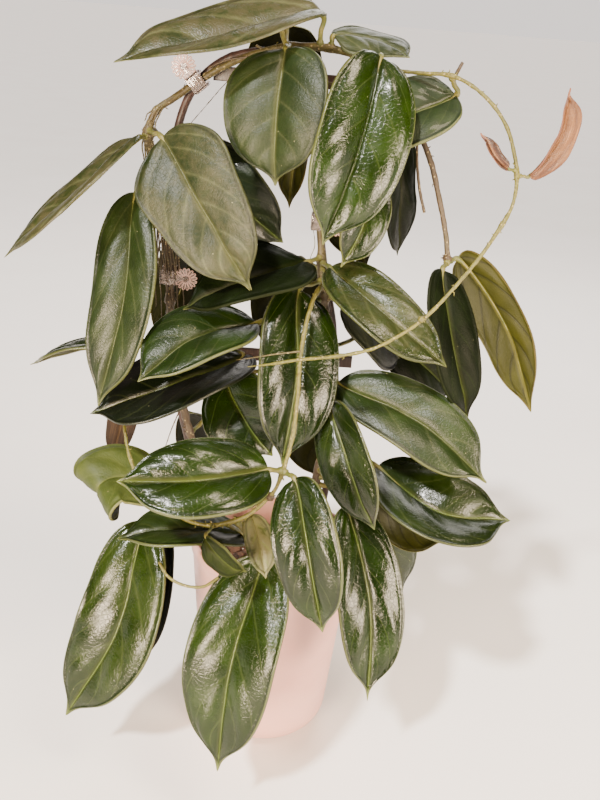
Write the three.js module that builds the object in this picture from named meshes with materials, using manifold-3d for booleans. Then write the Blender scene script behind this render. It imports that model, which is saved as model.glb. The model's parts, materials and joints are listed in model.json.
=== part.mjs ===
// A potted hoya: a long-stemmed wax plant trained on a cane hoop, in a tall round pot.
// Millimetres, +Z up. The origin is the centre of the pot's foot. The plant's front faces -Y.
import * as THREE from 'three';
import { mergeVertices } from 'three/addons/utils/BufferGeometryUtils.js';
import Module from 'manifold-3d';

// The pot.
const POT_HEIGHT = 145;
const POT_RIM_RADIUS = 55;
const POT_FOOT_RADIUS = 43;
const POT_CORNER = 20; // radius of the round corner between wall and foot
const POT_WALL = 3;
const POT_BAND = 9; // height of the slightly proud band under the rim
const POT_BAND_PROUD = 1;
const POT_SEGMENTS = 40;

// The bark mix in the pot.
const SOIL_TOP = 127;
const SOIL_LUMP = 2.5; // how far the lumps of bark rise and fall
const HOLE_BOTTOM = 92; // everything planted ends just above this height

// The plant and what holds it.
const GAP = 0.4; // clearance between a stalk and the stem it grows from
const STEM_RADIUS = 2.6;
const END_GAP = -0.85; // the same where a runner goes on from a stem's cut end: it starts inside the rim
const RUNNER_RADIUS = 1.8;
const HOOP_RADIUS = 2.4;
const SLAT = { tall: 8, thick: 2.5 };
const CLIP = { wide: 10, deep: 15.5, tall: 9, wall: 1.3, fan: 7, fanThick: 1.4 };
const STALK_RADIUS = 1.7;
const RIB_HALF = 1.1; // half the blade's thickness at the midrib
const SHEET_HALF = 0.75; // half the blade's thickness between midrib and edge
const PUFF = 0.09; // how far each half swells up, as a share of the half width

const COLOURS = {
  pot: new THREE.MeshStandardMaterial({ color: 0xe6cdc3, roughness: 0.45, metalness: 0 }),
  soil: new THREE.MeshStandardMaterial({ color: 0x4a3527, roughness: 0.95, metalness: 0 }),
  cane: new THREE.MeshStandardMaterial({ color: 0x3a2a22, roughness: 0.7, metalness: 0 }),
  clip: new THREE.MeshStandardMaterial({ color: 0xe8dfd8, roughness: 0.1, metalness: 0 }),
  stem: new THREE.MeshStandardMaterial({ color: 0x8a8548, roughness: 0.6, metalness: 0 }),
  leaf: new THREE.MeshStandardMaterial({ color: 0x3a5c1e, roughness: 0.25, metalness: 0 }),
  bronze: new THREE.MeshStandardMaterial({ color: 0xa0694f, roughness: 0.4, metalness: 0 }),
  dry: new THREE.MeshStandardMaterial({ color: 0x5a4130, roughness: 0.8, metalness: 0 }),
};

const wasm = await Module();
wasm.setup();

const plant = new THREE.Group();

function addMesh(name, geometry, material) {
  const mesh = new THREE.Mesh(geometry, material);
  mesh.name = name;
  plant.add(mesh);
  return mesh;
}

const point = ([x, y, z]) => new THREE.Vector3(x, y, z);

// ---- solids ----

function closedGeometry(points, triangles) {
  const geometry = new THREE.BufferGeometry();
  const numbers = points.flatMap((p) => [p.x, p.y, p.z]);
  geometry.setAttribute('position', new THREE.Float32BufferAttribute(numbers, 3));
  geometry.setIndex(triangles.flat());
  return geometry;
}

// Skins equal rings into one closed body, with a hub vertex at each end. The quads of the first half
// of every ring and of the second half are split alike, so that a thin blade's two faces never cross.
function loft(rings, startHub, endHub) {
  const sides = rings[0].length;
  const last = rings.length - 1;
  const points = [startHub, ...rings.flat(), endHub];
  const at = (ring, side) => 1 + ring * sides + (side % sides);
  const triangles = [];
  for (let side = 0; side < sides; side += 1) {
    const next = side + 1;
    triangles.push([0, at(0, next), at(0, side)]);
    triangles.push([points.length - 1, at(last, side), at(last, next)]);
    for (let ring = 0; ring < last; ring += 1) {
      const [a, b] = [at(ring, side), at(ring, next)];
      const [d, c] = [at(ring + 1, side), at(ring + 1, next)];
      if (side < sides / 2) triangles.push([a, b, c], [a, c, d]);
      else triangles.push([a, b, d], [b, c, d]);
    }
  }
  return closedGeometry(points, triangles);
}

// Frames carried along a curve without twist: T ahead, N up and S to the side.
function framesAlong(curve, stations, up) {
  const tangents = stations.map((t) => curve.getTangent(t));
  let normal = up.clone();
  return stations.map((t, i) => {
    const T = tangents[i];
    normal = normal.clone().addScaledVector(T, -normal.dot(T)).normalize();
    return { centre: curve.getPoint(t), T, N: normal, S: T.clone().cross(normal) };
  });
}

function circle(frame, radius, sides) {
  return Array.from({ length: sides }, (_, k) => {
    const angle = Math.PI - (2 * Math.PI * k) / sides;
    return frame.centre.clone()
      .addScaledVector(frame.S, Math.cos(angle) * radius)
      .addScaledVector(frame.N, Math.sin(angle) * radius);
  });
}

// A round stem along a curve. radiusAt gives the radius at each share of the curve's length.
function tube(curve, radiusAt, steps, sides = 8) {
  const stations = Array.from({ length: steps + 1 }, (_, i) => i / steps);
  const frames = framesAlong(curve, stations, new THREE.Vector3(0.31, 0.95, 0.05));
  const rings = frames.map((frame, i) => circle(frame, radiusAt(stations[i]), sides));
  return loft(rings, frames[0].centre, frames[steps].centre);
}

function toSolid(geometry) {
  const bare = geometry.clone();
  bare.deleteAttribute('normal');
  bare.deleteAttribute('uv');
  const merged = mergeVertices(bare, 1e-4);
  return new wasm.Manifold(new wasm.Mesh({
    numProp: 3,
    vertProperties: new Float32Array(merged.attributes.position.array),
    triVerts: new Uint32Array(merged.index.array),
  }));
}

function fromSolid(solid) {
  const mesh = solid.getMesh();
  const geometry = new THREE.BufferGeometry();
  geometry.setAttribute('position', new THREE.BufferAttribute(new Float32Array(mesh.vertProperties), 3));
  geometry.setIndex(Array.from(mesh.triVerts));
  return geometry;
}

// ---- pot and bark ----

const tidy = (x) => Math.round(x * 1e4) / 1e4;

// A body turned about +Z from a list of [radius, height] points that starts and ends on the axis.
function turned(profile, segments) {
  const points = profile.map(([r, z]) => new THREE.Vector2(r, z));
  return new THREE.LatheGeometry(points, segments).rotateX(Math.PI / 2);
}

// The outer wall leans evenly from the round corner to the rim.
const wallRadius = (z) => THREE.MathUtils.mapLinear(z, 0, POT_HEIGHT, POT_FOOT_RADIUS, POT_RIM_RADIUS);

function cornerPoints(inset, floor, steps) {
  const radius = POT_CORNER - inset;
  const centreR = wallRadius(POT_CORNER) - POT_CORNER;
  return Array.from({ length: steps + 1 }, (_, i) => {
    const angle = (Math.PI / 2) * (i / steps);
    return [centreR + radius * Math.sin(angle), floor + radius * (1 - Math.cos(angle))];
  });
}

function makePot() {
  const bandFoot = POT_HEIGHT - POT_BAND;
  const profile = [
    [0, 0],
    ...cornerPoints(0, 0, 5),
    [wallRadius(bandFoot), bandFoot],
    [wallRadius(bandFoot) + POT_BAND_PROUD, bandFoot + 1],
    [POT_RIM_RADIUS + POT_BAND_PROUD, POT_HEIGHT - 1],
    [POT_RIM_RADIUS, POT_HEIGHT],
    [POT_RIM_RADIUS - POT_WALL + 0.5, POT_HEIGHT],
    [POT_RIM_RADIUS - POT_WALL, POT_HEIGHT - 1],
    ...cornerPoints(POT_WALL, POT_WALL, 4).reverse(),
    [0, POT_WALL],
  ];
  addMesh('pot', turned(profile, POT_SEGMENTS), COLOURS.pot);
}

// The bark fills the pot to a lumpy top and has a plain hole for each thing planted in it.
function makeSoil(planted) {
  const clear = 0.4;
  const topRadius = wallRadius(SOIL_TOP) - POT_WALL - clear;
  const topRings = [1, 0.8, 0.6, 0.4, 0.2];
  const profile = [
    [0, POT_WALL + clear],
    ...cornerPoints(POT_WALL + clear, POT_WALL + clear, 4),
    ...topRings.map((share) => [topRadius * share, SOIL_TOP]),
    [0, SOIL_TOP],
  ];
  const geometry = turned(profile, 30);
  const places = geometry.attributes.position;
  for (let i = 0; i < places.count; i += 1) {
    const [x, y, z] = [places.getX(i), places.getY(i), places.getZ(i)];
    if (z > SOIL_TOP - 0.01) {
      const lump = Math.sin(x * 0.31 + 1) * Math.cos(y * 0.27) + 0.6 * Math.sin(x * 0.13 - y * 0.41);
      places.setZ(i, tidy(SOIL_TOP + (SOIL_LUMP * lump) / 1.6));
    }
  }
  const soil = planted.reduce((rest, piece) => rest.subtract(toSolid(piece)), toSolid(geometry));
  addMesh('soil', fromSolid(soil), COLOURS.soil);
}

// ---- stems ----

const curveThrough = (places) => new THREE.CatmullRomCurve3(places.map(point), false, 'centripetal');

// A stem keeps its curve and its radius, so that stalks can find its surface.
function stem(places, radius, taper = 0.75) {
  return { curve: curveThrough(places), radiusAt: (t) => radius * (1 - (1 - taper) * t) };
}

function nearestOn({ curve, radiusAt }, target) {
  const stations = Array.from({ length: 401 }, (_, i) => i / 400);
  const distance = (t) => curve.getPoint(t).distanceTo(target);
  const best = stations.reduce((a, b) => (distance(b) < distance(a) ? b : a));
  return { centre: curve.getPoint(best), radius: radiusAt(best) };
}

// The place just clear of a stem's surface from which something grows towards a target.
function sproutPoint(parent, target, clearance = GAP) {
  const { centre, radius } = nearestOn(parent, target);
  const away = target.clone().sub(centre).normalize();
  return centre.addScaledVector(away, radius + clearance);
}

// Aerial roots: thin threads that leave the stem at one height and run down beside it, spread as a fan.
function rootsOn({ curve }, { from, to, count, spread, front }) {
  const threads = [];
  for (let i = 0; i < count; i += 1) {
    const turn = THREE.MathUtils.lerp(-1, 1, count > 1 ? i / (count - 1) : 0.5);
    const side = new THREE.Vector3(turn * spread, -front * (1 - 0.5 * turn * turn), 0);
    const start = curve.getPoint(from);
    const middle = curve.getPoint(THREE.MathUtils.lerp(from, to, 0.35)).addScaledVector(side, 0.8);
    const end = curve.getPoint(to + 0.012 * Math.cos(i * 2.4)).add(side);
    threads.push(tube(new THREE.CatmullRomCurve3([start, middle, end]), () => 0.8, 6, 5));
  }
  return threads;
}

const STEMS = {
  left: stem([
    [-31, 6, 94], [-35, 8, 130], [-49, 11, 175], [-63, 11, 220], [-72, 9, 265], [-75, 6, 305],
    [-76, 5, 322], [-79, 2, 350], [-85, -3, 385], [-88, -6, 403], [-84, -4, 416], [-74, 1, 424],
    [-62, 2, 433], [-50, 2, 441], [-32, 3, 450], [-10, 2, 456], [17, 1, 456], [42, 0, 448],
  ], STEM_RADIUS),
  right: stem([
    [17, 8, 94], [20, 8, 130], [25, 6, 180], [28, 2, 230], [25, -3, 280], [19, -8, 320], [16, -8, 345],
    [14, -6, 361], [14, -4, 375], [17, -2, 400], [21, -4, 430], [19, -5, 444],
  ], STEM_RADIUS),
};

function makeStems() {
  const rootsLeft = [
    ...rootsOn(STEMS.left, { from: 0.53, to: 0.475, count: 4, spread: 5, front: 3 }),
    ...rootsOn(STEMS.left, { from: 0.44, to: 0.37, count: 5, spread: 6, front: 4 }),
  ];
  const rootsRight = rootsOn(STEMS.right, { from: 0.77, to: 0.69, count: 3, spread: 5, front: 3 });
  const grown = [['stem_left', STEMS.left, 44, rootsLeft], ['stem_right', STEMS.right, 34, rootsRight]];
  for (const [name, { curve, radiusAt }, steps, roots] of grown) {
    const body = toSolid(tube(curve, radiusAt, steps));
    const whole = roots.reduce((sum, root) => sum.add(toSolid(root)), body);
    addMesh(name, fromSolid(whole), COLOURS.stem);
  }
}

// Younger stems start just clear of an old stem's surface, or of its cut end.
function branch(parent, places, radius, clearance = GAP) {
  const start = sproutPoint(parent, point(places[0]), clearance);
  return stem([start.toArray(), ...places], radius, 0.8);
}

STEMS.front = branch(STEMS.right, [
  [20, -18, 332], [13, -42, 322], [9, -60, 299], [9, -72, 275], [8, -82, 255], [4, -88, 237],
  [0, -88, 224], [-6, -86, 215], [-14, -85, 206], [-26, -84, 199], [-39, -83, 196], [-52, -80, 198],
  [-67, -75, 205], [-78, -69, 213], [-85, -63, 222], [-90, -55, 234], [-93, -45, 243], [-93, -34, 250],
], RUNNER_RADIUS + 0.3);
STEMS.runner = branch(STEMS.left, [
  [52, -5, 448], [62, -10, 448], [80, -20, 448], [96, -30, 440], [108, -38, 427], [114, -44, 412],
  [116, -48, 403], [115, -54, 388], [107, -62, 373], [94, -72, 355], [73, -83, 331], [60, -87, 321],
  [45, -88, 312], [25, -84, 305], [9, -78, 300], [-8, -73, 294], [-20, -66, 289],
], RUNNER_RADIUS, END_GAP);
STEMS.hanging = branch(STEMS.left, [
  [40, 12, 445], [47, 13, 440], [57, 9, 430], [66, 4, 416], [75, 2, 400], [83, 0, 378],
  [89, -2, 358], [92, -4, 343],
], STEM_RADIUS - 0.2);

function makeBranches() {
  const shapes = [
    ['vine_front', STEMS.front, 44],
    ['vine_runner', STEMS.runner, 44],
    ['vine_hanging', STEMS.hanging, 20],
  ];
  for (const [name, { curve, radiusAt }, steps] of shapes) {
    addMesh(name, tube(curve, radiusAt, steps), COLOURS.stem);
  }
}

// ---- hoop, slats and clips ----

const HOOP = stem([
  [-41, 14, 94], [-43, 14, 130], [-56, 16, 180], [-70, 16, 235], [-75, 14, 267], [-76, 13, 290],
  [-76, 13, 318], [-79, 11, 350], [-76, 10, 390], [-70, 10, 418], [-62, 10, 433], [-47, 10, 446],
  [-24, 10, 452], [-2, 10, 446],
  [10, 10, 430], [14, 6, 395], [14, 2, 361], [19, 5, 330], [27, 11, 295], [31, 14, 267], [34, 15, 230],
  [33, 15, 180], [27, 15, 130], [25, 15, 94],
], HOOP_RADIUS, 1);

function makeHoop() {
  addMesh('hoop', tube(HOOP.curve, HOOP.radiusAt, 60), COLOURS.cane);
}

// A flat slat lies across the back of the hoop at one height and reaches a little past both sides.
function makeSlat(name, z, left, right) {
  const hoopBack = nearestOn(HOOP, new THREE.Vector3(left, 10, z)).centre.y + HOOP_RADIUS;
  const slat = new THREE.BoxGeometry(right - left, SLAT.thick, SLAT.tall)
    .translate((left + right) / 2, hoopBack + GAP + SLAT.thick / 2, z);
  addMesh(name, slat, COLOURS.cane);
}

// A clear clip: a claw, open at the back, round stem and hoop, with a round fan as its handle.
function makeClip(name, place, lean, fanSide) {
  const { wide, deep, tall, wall, fan, fanThick } = CLIP;
  const [w, d] = [wide / 2, deep / 2];
  const claw = new THREE.Shape([
    [-w, -d], [w, -d], [w, d], [w - wall - 1, d], [w - wall, d - wall],
    [w - wall, -d + wall], [-w + wall, -d + wall], [-w + wall, d - wall], [-w + wall + 1, d], [-w, d],
  ].map(([x, y]) => new THREE.Vector2(x, y)));
  const body = new THREE.ExtrudeGeometry(claw, { depth: tall, bevelEnabled: false });
  body.translate(0, 0, -tall / 2);
  const disc = new THREE.CylinderGeometry(fan, fan, fanThick, 20)
    .translate(fanSide * (w + fan - 1), -d + fanThick / 2 + 0.2, 0);
  const clip = addMesh(name, fromSolid(toSolid(body).add(toSolid(disc))), COLOURS.clip);
  clip.position.set(...place);
  clip.rotation.y = THREE.MathUtils.degToRad(lean);
}

// ---- leaves ----

// A leaf's outline: round at the base, widest before the middle, then drawn out to a fine tip.
function outline(s, widest) {
  if (s < widest) return (1 - (1 - s / widest) ** 2.3) ** 0.62;
  return Math.cos((Math.PI / 2) * ((s - widest) / (1 - widest))) ** 0.85 * (1 - 0.3 * s ** 12);
}

// The eight corners of a blade's section: over the top from edge to edge, and back underneath.
function bladeSection(frame, s, { width, fold, widest }) {
  const half = (width / 2) * outline(s, widest);
  const slope = THREE.MathUtils.degToRad(fold);
  const thin = 1 - 0.55 * s;
  const corner = (share, over) => {
    const across = Math.abs(share);
    const puff = across === 0.5 ? PUFF * half : 0;
    const thick = across === 1 ? 0 : (across === 0 ? RIB_HALF : SHEET_HALF) * thin;
    return frame.centre.clone()
      .addScaledVector(frame.S, share * half * Math.cos(slope))
      .addScaledVector(frame.N, across * half * Math.sin(slope) + puff + (over ? thick : -thick));
  };
  return [
    corner(-1, true), corner(-0.5, true), corner(0, true), corner(0.5, true),
    corner(1, true), corner(0.5, false), corner(0, false), corner(-0.5, false),
  ];
}

// One leaf: a round stalk that starts just clear of its stem and opens into the blade. Unrolled, the
// upper side looks to the front and a little up. roll turns it about the line from base to tip, bow is
// how far the blade arches up between them, sweep how far it bends sideways, and fold how steeply its
// halves rise from the midrib.
const FRONT = new THREE.Vector3(0, -0.92, 0.4).normalize();
const STALK_STATIONS = [0, 0.25, 0.46];
const STALK_SWELL = [1.2, 0.9, 0.9];
const BLADE_STATIONS = [0.03, 0.1, 0.22, 0.38, 0.55, 0.71, 0.85, 0.95];
function makeLeaf(name, parent, basePlace, tipPlace, shape) {
  const { roll = 0, bow = 7, sweep = 0, fold = 10, widest = 0.45, width, material = COLOURS.leaf } = shape;
  const base = point(basePlace);
  const tip = point(tipPlace);
  const chord = tip.clone().sub(base).normalize();
  const facing = FRONT.clone().addScaledVector(chord, -FRONT.dot(chord)).normalize();
  facing.applyAxisAngle(chord, THREE.MathUtils.degToRad(roll));
  const middle = base.clone().add(tip).multiplyScalar(0.5)
    .addScaledVector(facing, bow)
    .addScaledVector(chord.clone().cross(facing), sweep);
  const start = sproutPoint(parent, base, GAP + 0.4);
  const sprout = start.clone().lerp(base, 0.4);
  const curve = new THREE.CatmullRomCurve3([start, sprout, base, middle, tip], false, 'centripetal');
  const stations = [...STALK_STATIONS, ...BLADE_STATIONS.map((s) => (1 + s) / 2)];
  const frames = framesAlong(curve, [...stations].reverse(), facing).reverse();
  const rings = frames.map((frame, i) => {
    const blade = i - STALK_STATIONS.length;
    if (blade < 0) return circle(frame, STALK_RADIUS * STALK_SWELL[i], 8);
    return bladeSection(frame, BLADE_STATIONS[blade], { width, fold, widest });
  });
  // The hub of the stalk's end stands a little proud on its upper side.
  const hub = frames[0].centre.clone().addScaledVector(frames[0].T, -0.3).addScaledVector(frames[0].N, 0.8);
  addMesh(name, loft(rings, hub, tip), material);
}

function makeCrown({ left, right, runner, hanging }) {
  makeLeaf('leaf_crown_left', left, [6, -6, 474], [-101, -40, 444],
    { width: 52, roll: 42, sweep: -3, bow: 1, fold: 14 });
  makeLeaf('leaf_crown_right', left, [13, 4, 463], [56, -8, 456],
    { width: 36, roll: -42, sweep: -8, bow: 0, fold: -10 });
  makeLeaf('leaf_crown_middle', left, [-12, -22, 455], [-13, -44, 386],
    { width: 60, roll: 19, sweep: -1, widest: 0.42 });
  makeLeaf('leaf_crown_front', left, [39, -26, 455], [16, -58, 359],
    { width: 54, roll: -22, sweep: -1 });
  makeLeaf('leaf_crown_far', runner, [84, -8, 438], [30, -12, 404], { width: 43, roll: 17, sweep: -1 });
  makeLeaf('leaf_crown_dark', hanging, [58, 12, 418], [65, 20, 338],
    { width: 40, roll: -51, sweep: 14 });
  makeLeaf('leaf_crown_small', right, [36, -14, 396], [28, -36, 342],
    { width: 30, roll: -30, sweep: -4 });
  makeLeaf('leaf_crown_back', right, [4, -6, 426], [-5, -4, 367], { width: 30, roll: 150 });
}

function makeLeftSide({ left }) {
  makeLeaf('leaf_shoulder', left, [-76, -30, 405], [-21, -62, 331],
    { width: 54, roll: 18, sweep: -2, widest: 0.42 });
  makeLeaf('leaf_far_left', left, [-92, -16, 402], [-161, -45, 335],
    { width: 46, roll: 60, sweep: -9, bow: 0 });
  makeLeaf('leaf_left_long', left, [-92, -18, 372], [-106, -58, 254],
    { width: 42, roll: 20, sweep: -9 });
  makeLeaf('leaf_left_sliver', left, [-90, 10, 270], [-166, 12, 251], { width: 44, roll: 75, bow: 4 });
  makeLeaf('leaf_behind_shoulder', left, [-60, 6, 396], [-7, 2, 345],
    { width: 42, roll: 15, sweep: 3 });
  makeLeaf('leaf_left_dark', left, [-26, -14, 277], [-113, -48, 245],
    { width: 56, roll: 43, sweep: -10, widest: 0.56 });
  makeLeaf('leaf_dry', left, [-99, 8, 244], [-110, 6, 190],
    { width: 20, bow: 2, fold: 4, material: COLOURS.dry });
}

function makeMiddle({ right }) {
  makeLeaf('leaf_middle_upper', right, [8, -22, 340], [-61, -46, 315],
    { width: 48, roll: 43, sweep: -7 });
  makeLeaf('leaf_middle_left', right, [-18, -38, 306], [-79, -80, 280],
    { width: 48, roll: 38, sweep: 4 });
  makeLeaf('leaf_middle_tall', right, [5, -28, 325], [3, -70, 232],
    { width: 50, roll: -21, sweep: -1 });
  makeLeaf('leaf_middle_low', right, [-34, -18, 263], [-4, -46, 225],
    { width: 50, roll: 19, sweep: 1 });
  makeLeaf('leaf_middle_shade', right, [30, -2, 316], [73, 12, 274],
    { width: 44, roll: -32, sweep: 6 });
  makeLeaf('leaf_middle_right', right, [22, -22, 338], [91, -60, 296],
    { width: 38, roll: -21, sweep: 4 });
}

function makeRightSide({ right, hanging }) {
  makeLeaf('leaf_right_dark', hanging, [88, -14, 340], [114, -34, 253],
    { width: 36, roll: -28, sweep: 8 });
  makeLeaf('leaf_right_turned', hanging, [98, 0, 344], [156, -8, 252],
    { width: 37, roll: 166, sweep: 13 });
  makeLeaf('leaf_right_back', right, [54, 18, 288], [113, 44, 240], { width: 44, roll: -20 });
  makeLeaf('leaf_right_wide', right, [32, -30, 270], [123, -66, 229],
    { width: 44, roll: -19, sweep: -5, widest: 0.52 });
  makeLeaf('leaf_right_inner', right, [28, -46, 263], [58, -84, 201],
    { width: 38, roll: 38, sweep: -4 });
  makeLeaf('leaf_right_glossy', right, [62, -24, 214], [144, -50, 197],
    { width: 56, roll: -32, sweep: 18, fold: 20, widest: 0.5 });
  makeLeaf('leaf_right_pale', right, [60, -12, 186], [113, -24, 163], { width: 34, roll: 150 });
  makeLeaf('leaf_right_low', right, [56, 4, 180], [93, 0, 108], { width: 40, roll: -30 });
}

function makeFoot({ left, right, front }) {
  makeLeaf('leaf_foot_right', right, [44, -36, 191], [67, -84, 81],
    { width: 45, roll: -18, sweep: -6 });
  makeLeaf('leaf_front_right', front, [11, -96, 237], [33, -126, 159],
    { width: 40, roll: 21, sweep: -3 });
  makeLeaf('leaf_front_left', front, [-4, -96, 241], [-82, -122, 240],
    { width: 47, roll: 25, sweep: -6 });
  makeLeaf('leaf_under_left', front, [-18, -66, 182], [-88, -92, 190],
    { width: 44, roll: 61, sweep: -5 });
  makeLeaf('leaf_curled', left, [-66, -36, 194], [-122, -70, 183],
    { width: 48, roll: 46, sweep: 12, bow: 12 });
  makeLeaf('leaf_foot_left', left, [-80, -34, 167], [-123, -80, 48],
    { width: 57, roll: 17, sweep: -13, widest: 0.46 });
  makeLeaf('leaf_foot_shade', left, [-72, -10, 152], [-97, -34, 52],
    { width: 44, roll: 27, sweep: -8 });
  makeLeaf('leaf_foot_front', front, [-5, -74, 175], [-22, -120, 49],
    { width: 59, roll: 20, sweep: 2 });
  makeLeaf('leaf_young_front', front, [-13, -78, 202], [-1, -100, 174],
    { width: 22, roll: -25, bow: 3 });
  makeLeaf('leaf_young_under', front, [-36, -103, 200], [-36, -109, 181],
    { width: 17, roll: 20, bow: 2 });
}

function makeNewLeaves({ runner }) {
  const { bronze } = COLOURS;
  const longShape = { width: 21, roll: 37, sweep: 5, bow: 3, fold: 40, widest: 0.5, material: bronze };
  const smallShape = { width: 11, roll: 15, sweep: -3, bow: 1, fold: 30, material: bronze };
  makeLeaf('leaf_bronze', runner, [123, -46, 402], [134, -58, 449], longShape);
  makeLeaf('leaf_bronze_small', runner, [110, -52, 406], [94, -56, 424], smallShape);
}

function makeBack({ left, right }) {
  makeLeaf('leaf_back_high', left, [-14, 22, 466], [-18, 66, 372], { width: 50, roll: 180 });
  makeLeaf('leaf_back_right', right, [29, 24, 412], [47, 62, 318], { width: 52, roll: 165 });
  makeLeaf('leaf_back_left', left, [-64, 24, 340], [-92, 66, 250], { width: 52, roll: -165 });
  makeLeaf('leaf_back_middle', right, [2, 26, 330], [-12, 76, 245], { width: 54, roll: 180 });
  makeLeaf('leaf_back_low', right, [18, 28, 235], [38, 78, 150], { width: 52, roll: 170 });
  makeLeaf('leaf_back_foot', left, [-51, 28, 215], [-55, 82, 130], { width: 54, roll: -175 });
}

function makeSupport() {
  makeHoop();
  makeSlat('slat_top', 438, -54, 22);
  makeSlat('slat_middle', 267, -84, 42);
  makeClip('clip_left', [-76, 9, 318], 2, 1);
  makeClip('clip_top', [-62, 6, 433], 48, -1);
  makeClip('clip_right', [14, -3.2, 361], 0, 1);
}

// Each planted piece leaves a hole of its own size plus clearance, down to the same depth.
function plantedShapes() {
  const hole = ({ curve }, foot, reach, radius) => {
    const shares = [0, 0.2, 0.4, 0.6, 0.8, 1];
    const places = shares.map((share) => curve.getPoint(foot + share * reach));
    const bottom = places[0].clone().setZ(HOLE_BOTTOM);
    return tube(new THREE.CatmullRomCurve3([bottom, ...places]), () => radius + GAP, 14);
  };
  return [
    hole(STEMS.left, 0, 0.12, STEM_RADIUS),
    hole(STEMS.right, 0, 0.18, STEM_RADIUS),
    hole(HOOP, 0, 0.09, HOOP_RADIUS),
    hole(HOOP, 1, -0.09, HOOP_RADIUS),
  ];
}

makePot();
makeSoil(plantedShapes());
makeSupport();
makeStems();
makeBranches();
makeCrown(STEMS);
makeLeftSide(STEMS);
makeMiddle(STEMS);
makeRightSide(STEMS);
makeFoot(STEMS);
makeNewLeaves(STEMS);
makeBack(STEMS);

export default plant;
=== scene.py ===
"""A potted hoya on a cane hoop: the finish and the fine shapes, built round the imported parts.

Blender works in metres, +Z up, and the plant's front faces -Y. Places and sizes of the plant's pieces
are written in millimetres and multiplied by MM where a mesh is made. Lights are placed in metres.
"""
import json
import math
import random
from functools import partial

import bmesh
import bpy
import numpy as np
from mathutils import Matrix, Vector, noise

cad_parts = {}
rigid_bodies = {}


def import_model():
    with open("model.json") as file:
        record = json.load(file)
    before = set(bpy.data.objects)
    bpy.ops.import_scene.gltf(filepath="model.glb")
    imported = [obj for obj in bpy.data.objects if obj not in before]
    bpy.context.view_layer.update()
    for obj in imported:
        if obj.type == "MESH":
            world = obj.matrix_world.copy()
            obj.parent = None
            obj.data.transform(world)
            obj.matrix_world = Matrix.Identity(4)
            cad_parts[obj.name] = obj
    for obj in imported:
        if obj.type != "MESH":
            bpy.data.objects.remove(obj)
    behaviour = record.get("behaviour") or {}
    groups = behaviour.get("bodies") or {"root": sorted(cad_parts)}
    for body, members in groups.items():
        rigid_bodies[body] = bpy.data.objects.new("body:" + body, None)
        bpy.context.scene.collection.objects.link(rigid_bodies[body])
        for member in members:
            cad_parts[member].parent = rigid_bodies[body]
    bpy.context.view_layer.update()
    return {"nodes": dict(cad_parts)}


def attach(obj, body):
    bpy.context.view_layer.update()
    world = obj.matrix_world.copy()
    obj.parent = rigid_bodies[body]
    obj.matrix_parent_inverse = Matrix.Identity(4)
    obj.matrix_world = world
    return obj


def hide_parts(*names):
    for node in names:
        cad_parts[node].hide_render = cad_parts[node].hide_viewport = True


for leftover in list(bpy.data.objects):
    bpy.data.objects.remove(leftover)
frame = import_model()
NODES = sorted(frame["nodes"])
MM = 0.001
DM = 100 * MM
# Points that are closer than this, in metres, are one.
SAME_PLACE = 1e-5


# ---- small helpers ----

def take(piece):
    """Makes one object the only selected one, and the active one."""
    bpy.ops.object.select_all(action="DESELECT")
    piece.select_set(True)
    bpy.context.view_layer.objects.active = piece


def settle(piece):
    """Puts the object's place and turn into its mesh, so that the object sits at the origin."""
    take(piece)
    bpy.ops.object.transform_apply(location=True, rotation=True, scale=True)
    return piece


def apply_modifiers(piece):
    take(piece)
    for modifier in list(piece.modifiers):
        bpy.ops.object.modifier_apply(modifier=modifier.name)


def smooth(piece):
    take(piece)
    bpy.ops.object.shade_smooth()


def smooth_flats(piece):
    """Smooth shading that leaves the corners between flat faces crisp."""
    take(piece)
    bpy.ops.object.shade_smooth_by_angle(angle=math.radians(40))


def rounded(piece, width, limit):
    """Rounds a piece's edges by a width in mm."""
    edge = piece.modifiers.new("rounded", "BEVEL")
    edge.width = width * MM
    edge.segments = 3
    edge.limit_method = limit
    apply_modifiers(piece)


def placed(name, data):
    """A new object in the scene round a mesh, curve, light or camera."""
    thing = bpy.data.objects.new(name, data)
    bpy.context.scene.collection.objects.link(thing)
    return thing


def copy_of(master, name):
    """A copy of a modelled piece, with a mesh of its own."""
    piece = master.copy()
    piece.data = master.data.copy()
    piece.name = name
    bpy.context.scene.collection.objects.link(piece)
    return piece


def joined(pieces, name):
    take(pieces[0])
    for piece in pieces:
        piece.select_set(True)
    bpy.ops.object.join()
    pieces[0].name = name
    return pieces[0]


def discard(*pieces):
    for piece in pieces:
        bpy.data.objects.remove(piece)


def points_of(mesh):
    flat = np.empty(len(mesh.vertices) * 3, np.float32)
    mesh.vertices.foreach_get("co", flat)
    return flat.reshape(-1, 3).astype(float)


def set_points(mesh, points):
    mesh.vertices.foreach_set("co", np.asarray(points, np.float32).ravel())
    mesh.update()


def finished(piece, slot, *replaced):
    """A piece that is done: it rides on the plant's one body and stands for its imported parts."""
    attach(piece, "root")
    if replaced:
        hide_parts(*replaced)


def mark(piece, name, values):
    """Gives the points of a piece a number, or one each, for its finish to read."""
    numbers = piece.data.attributes.new(name, "FLOAT", "POINT")
    numbers.data.foreach_set("value", np.broadcast_to(values, len(piece.data.vertices)).astype(np.float32))


def unit(vectors):
    return vectors / np.linalg.norm(vectors, axis=-1, keepdims=True)


def ramp(value, low, high):
    """0 below low, 1 above high, and smooth between."""
    t = np.clip((value - low) / (high - low), 0, 1)
    return t * t * (3 - 2 * t)


def hump(value, middle, width):
    """A bell-shaped hump: 1 at the middle, about a third of that at width from it."""
    return np.exp(-(((value - middle) / width) ** 2))


# ---- camera, floor and light ----

LENS = 43.47
EYE = (10.5, -572, 476)
LOOK_DOWN = 22
LEAN = 4.5
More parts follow.
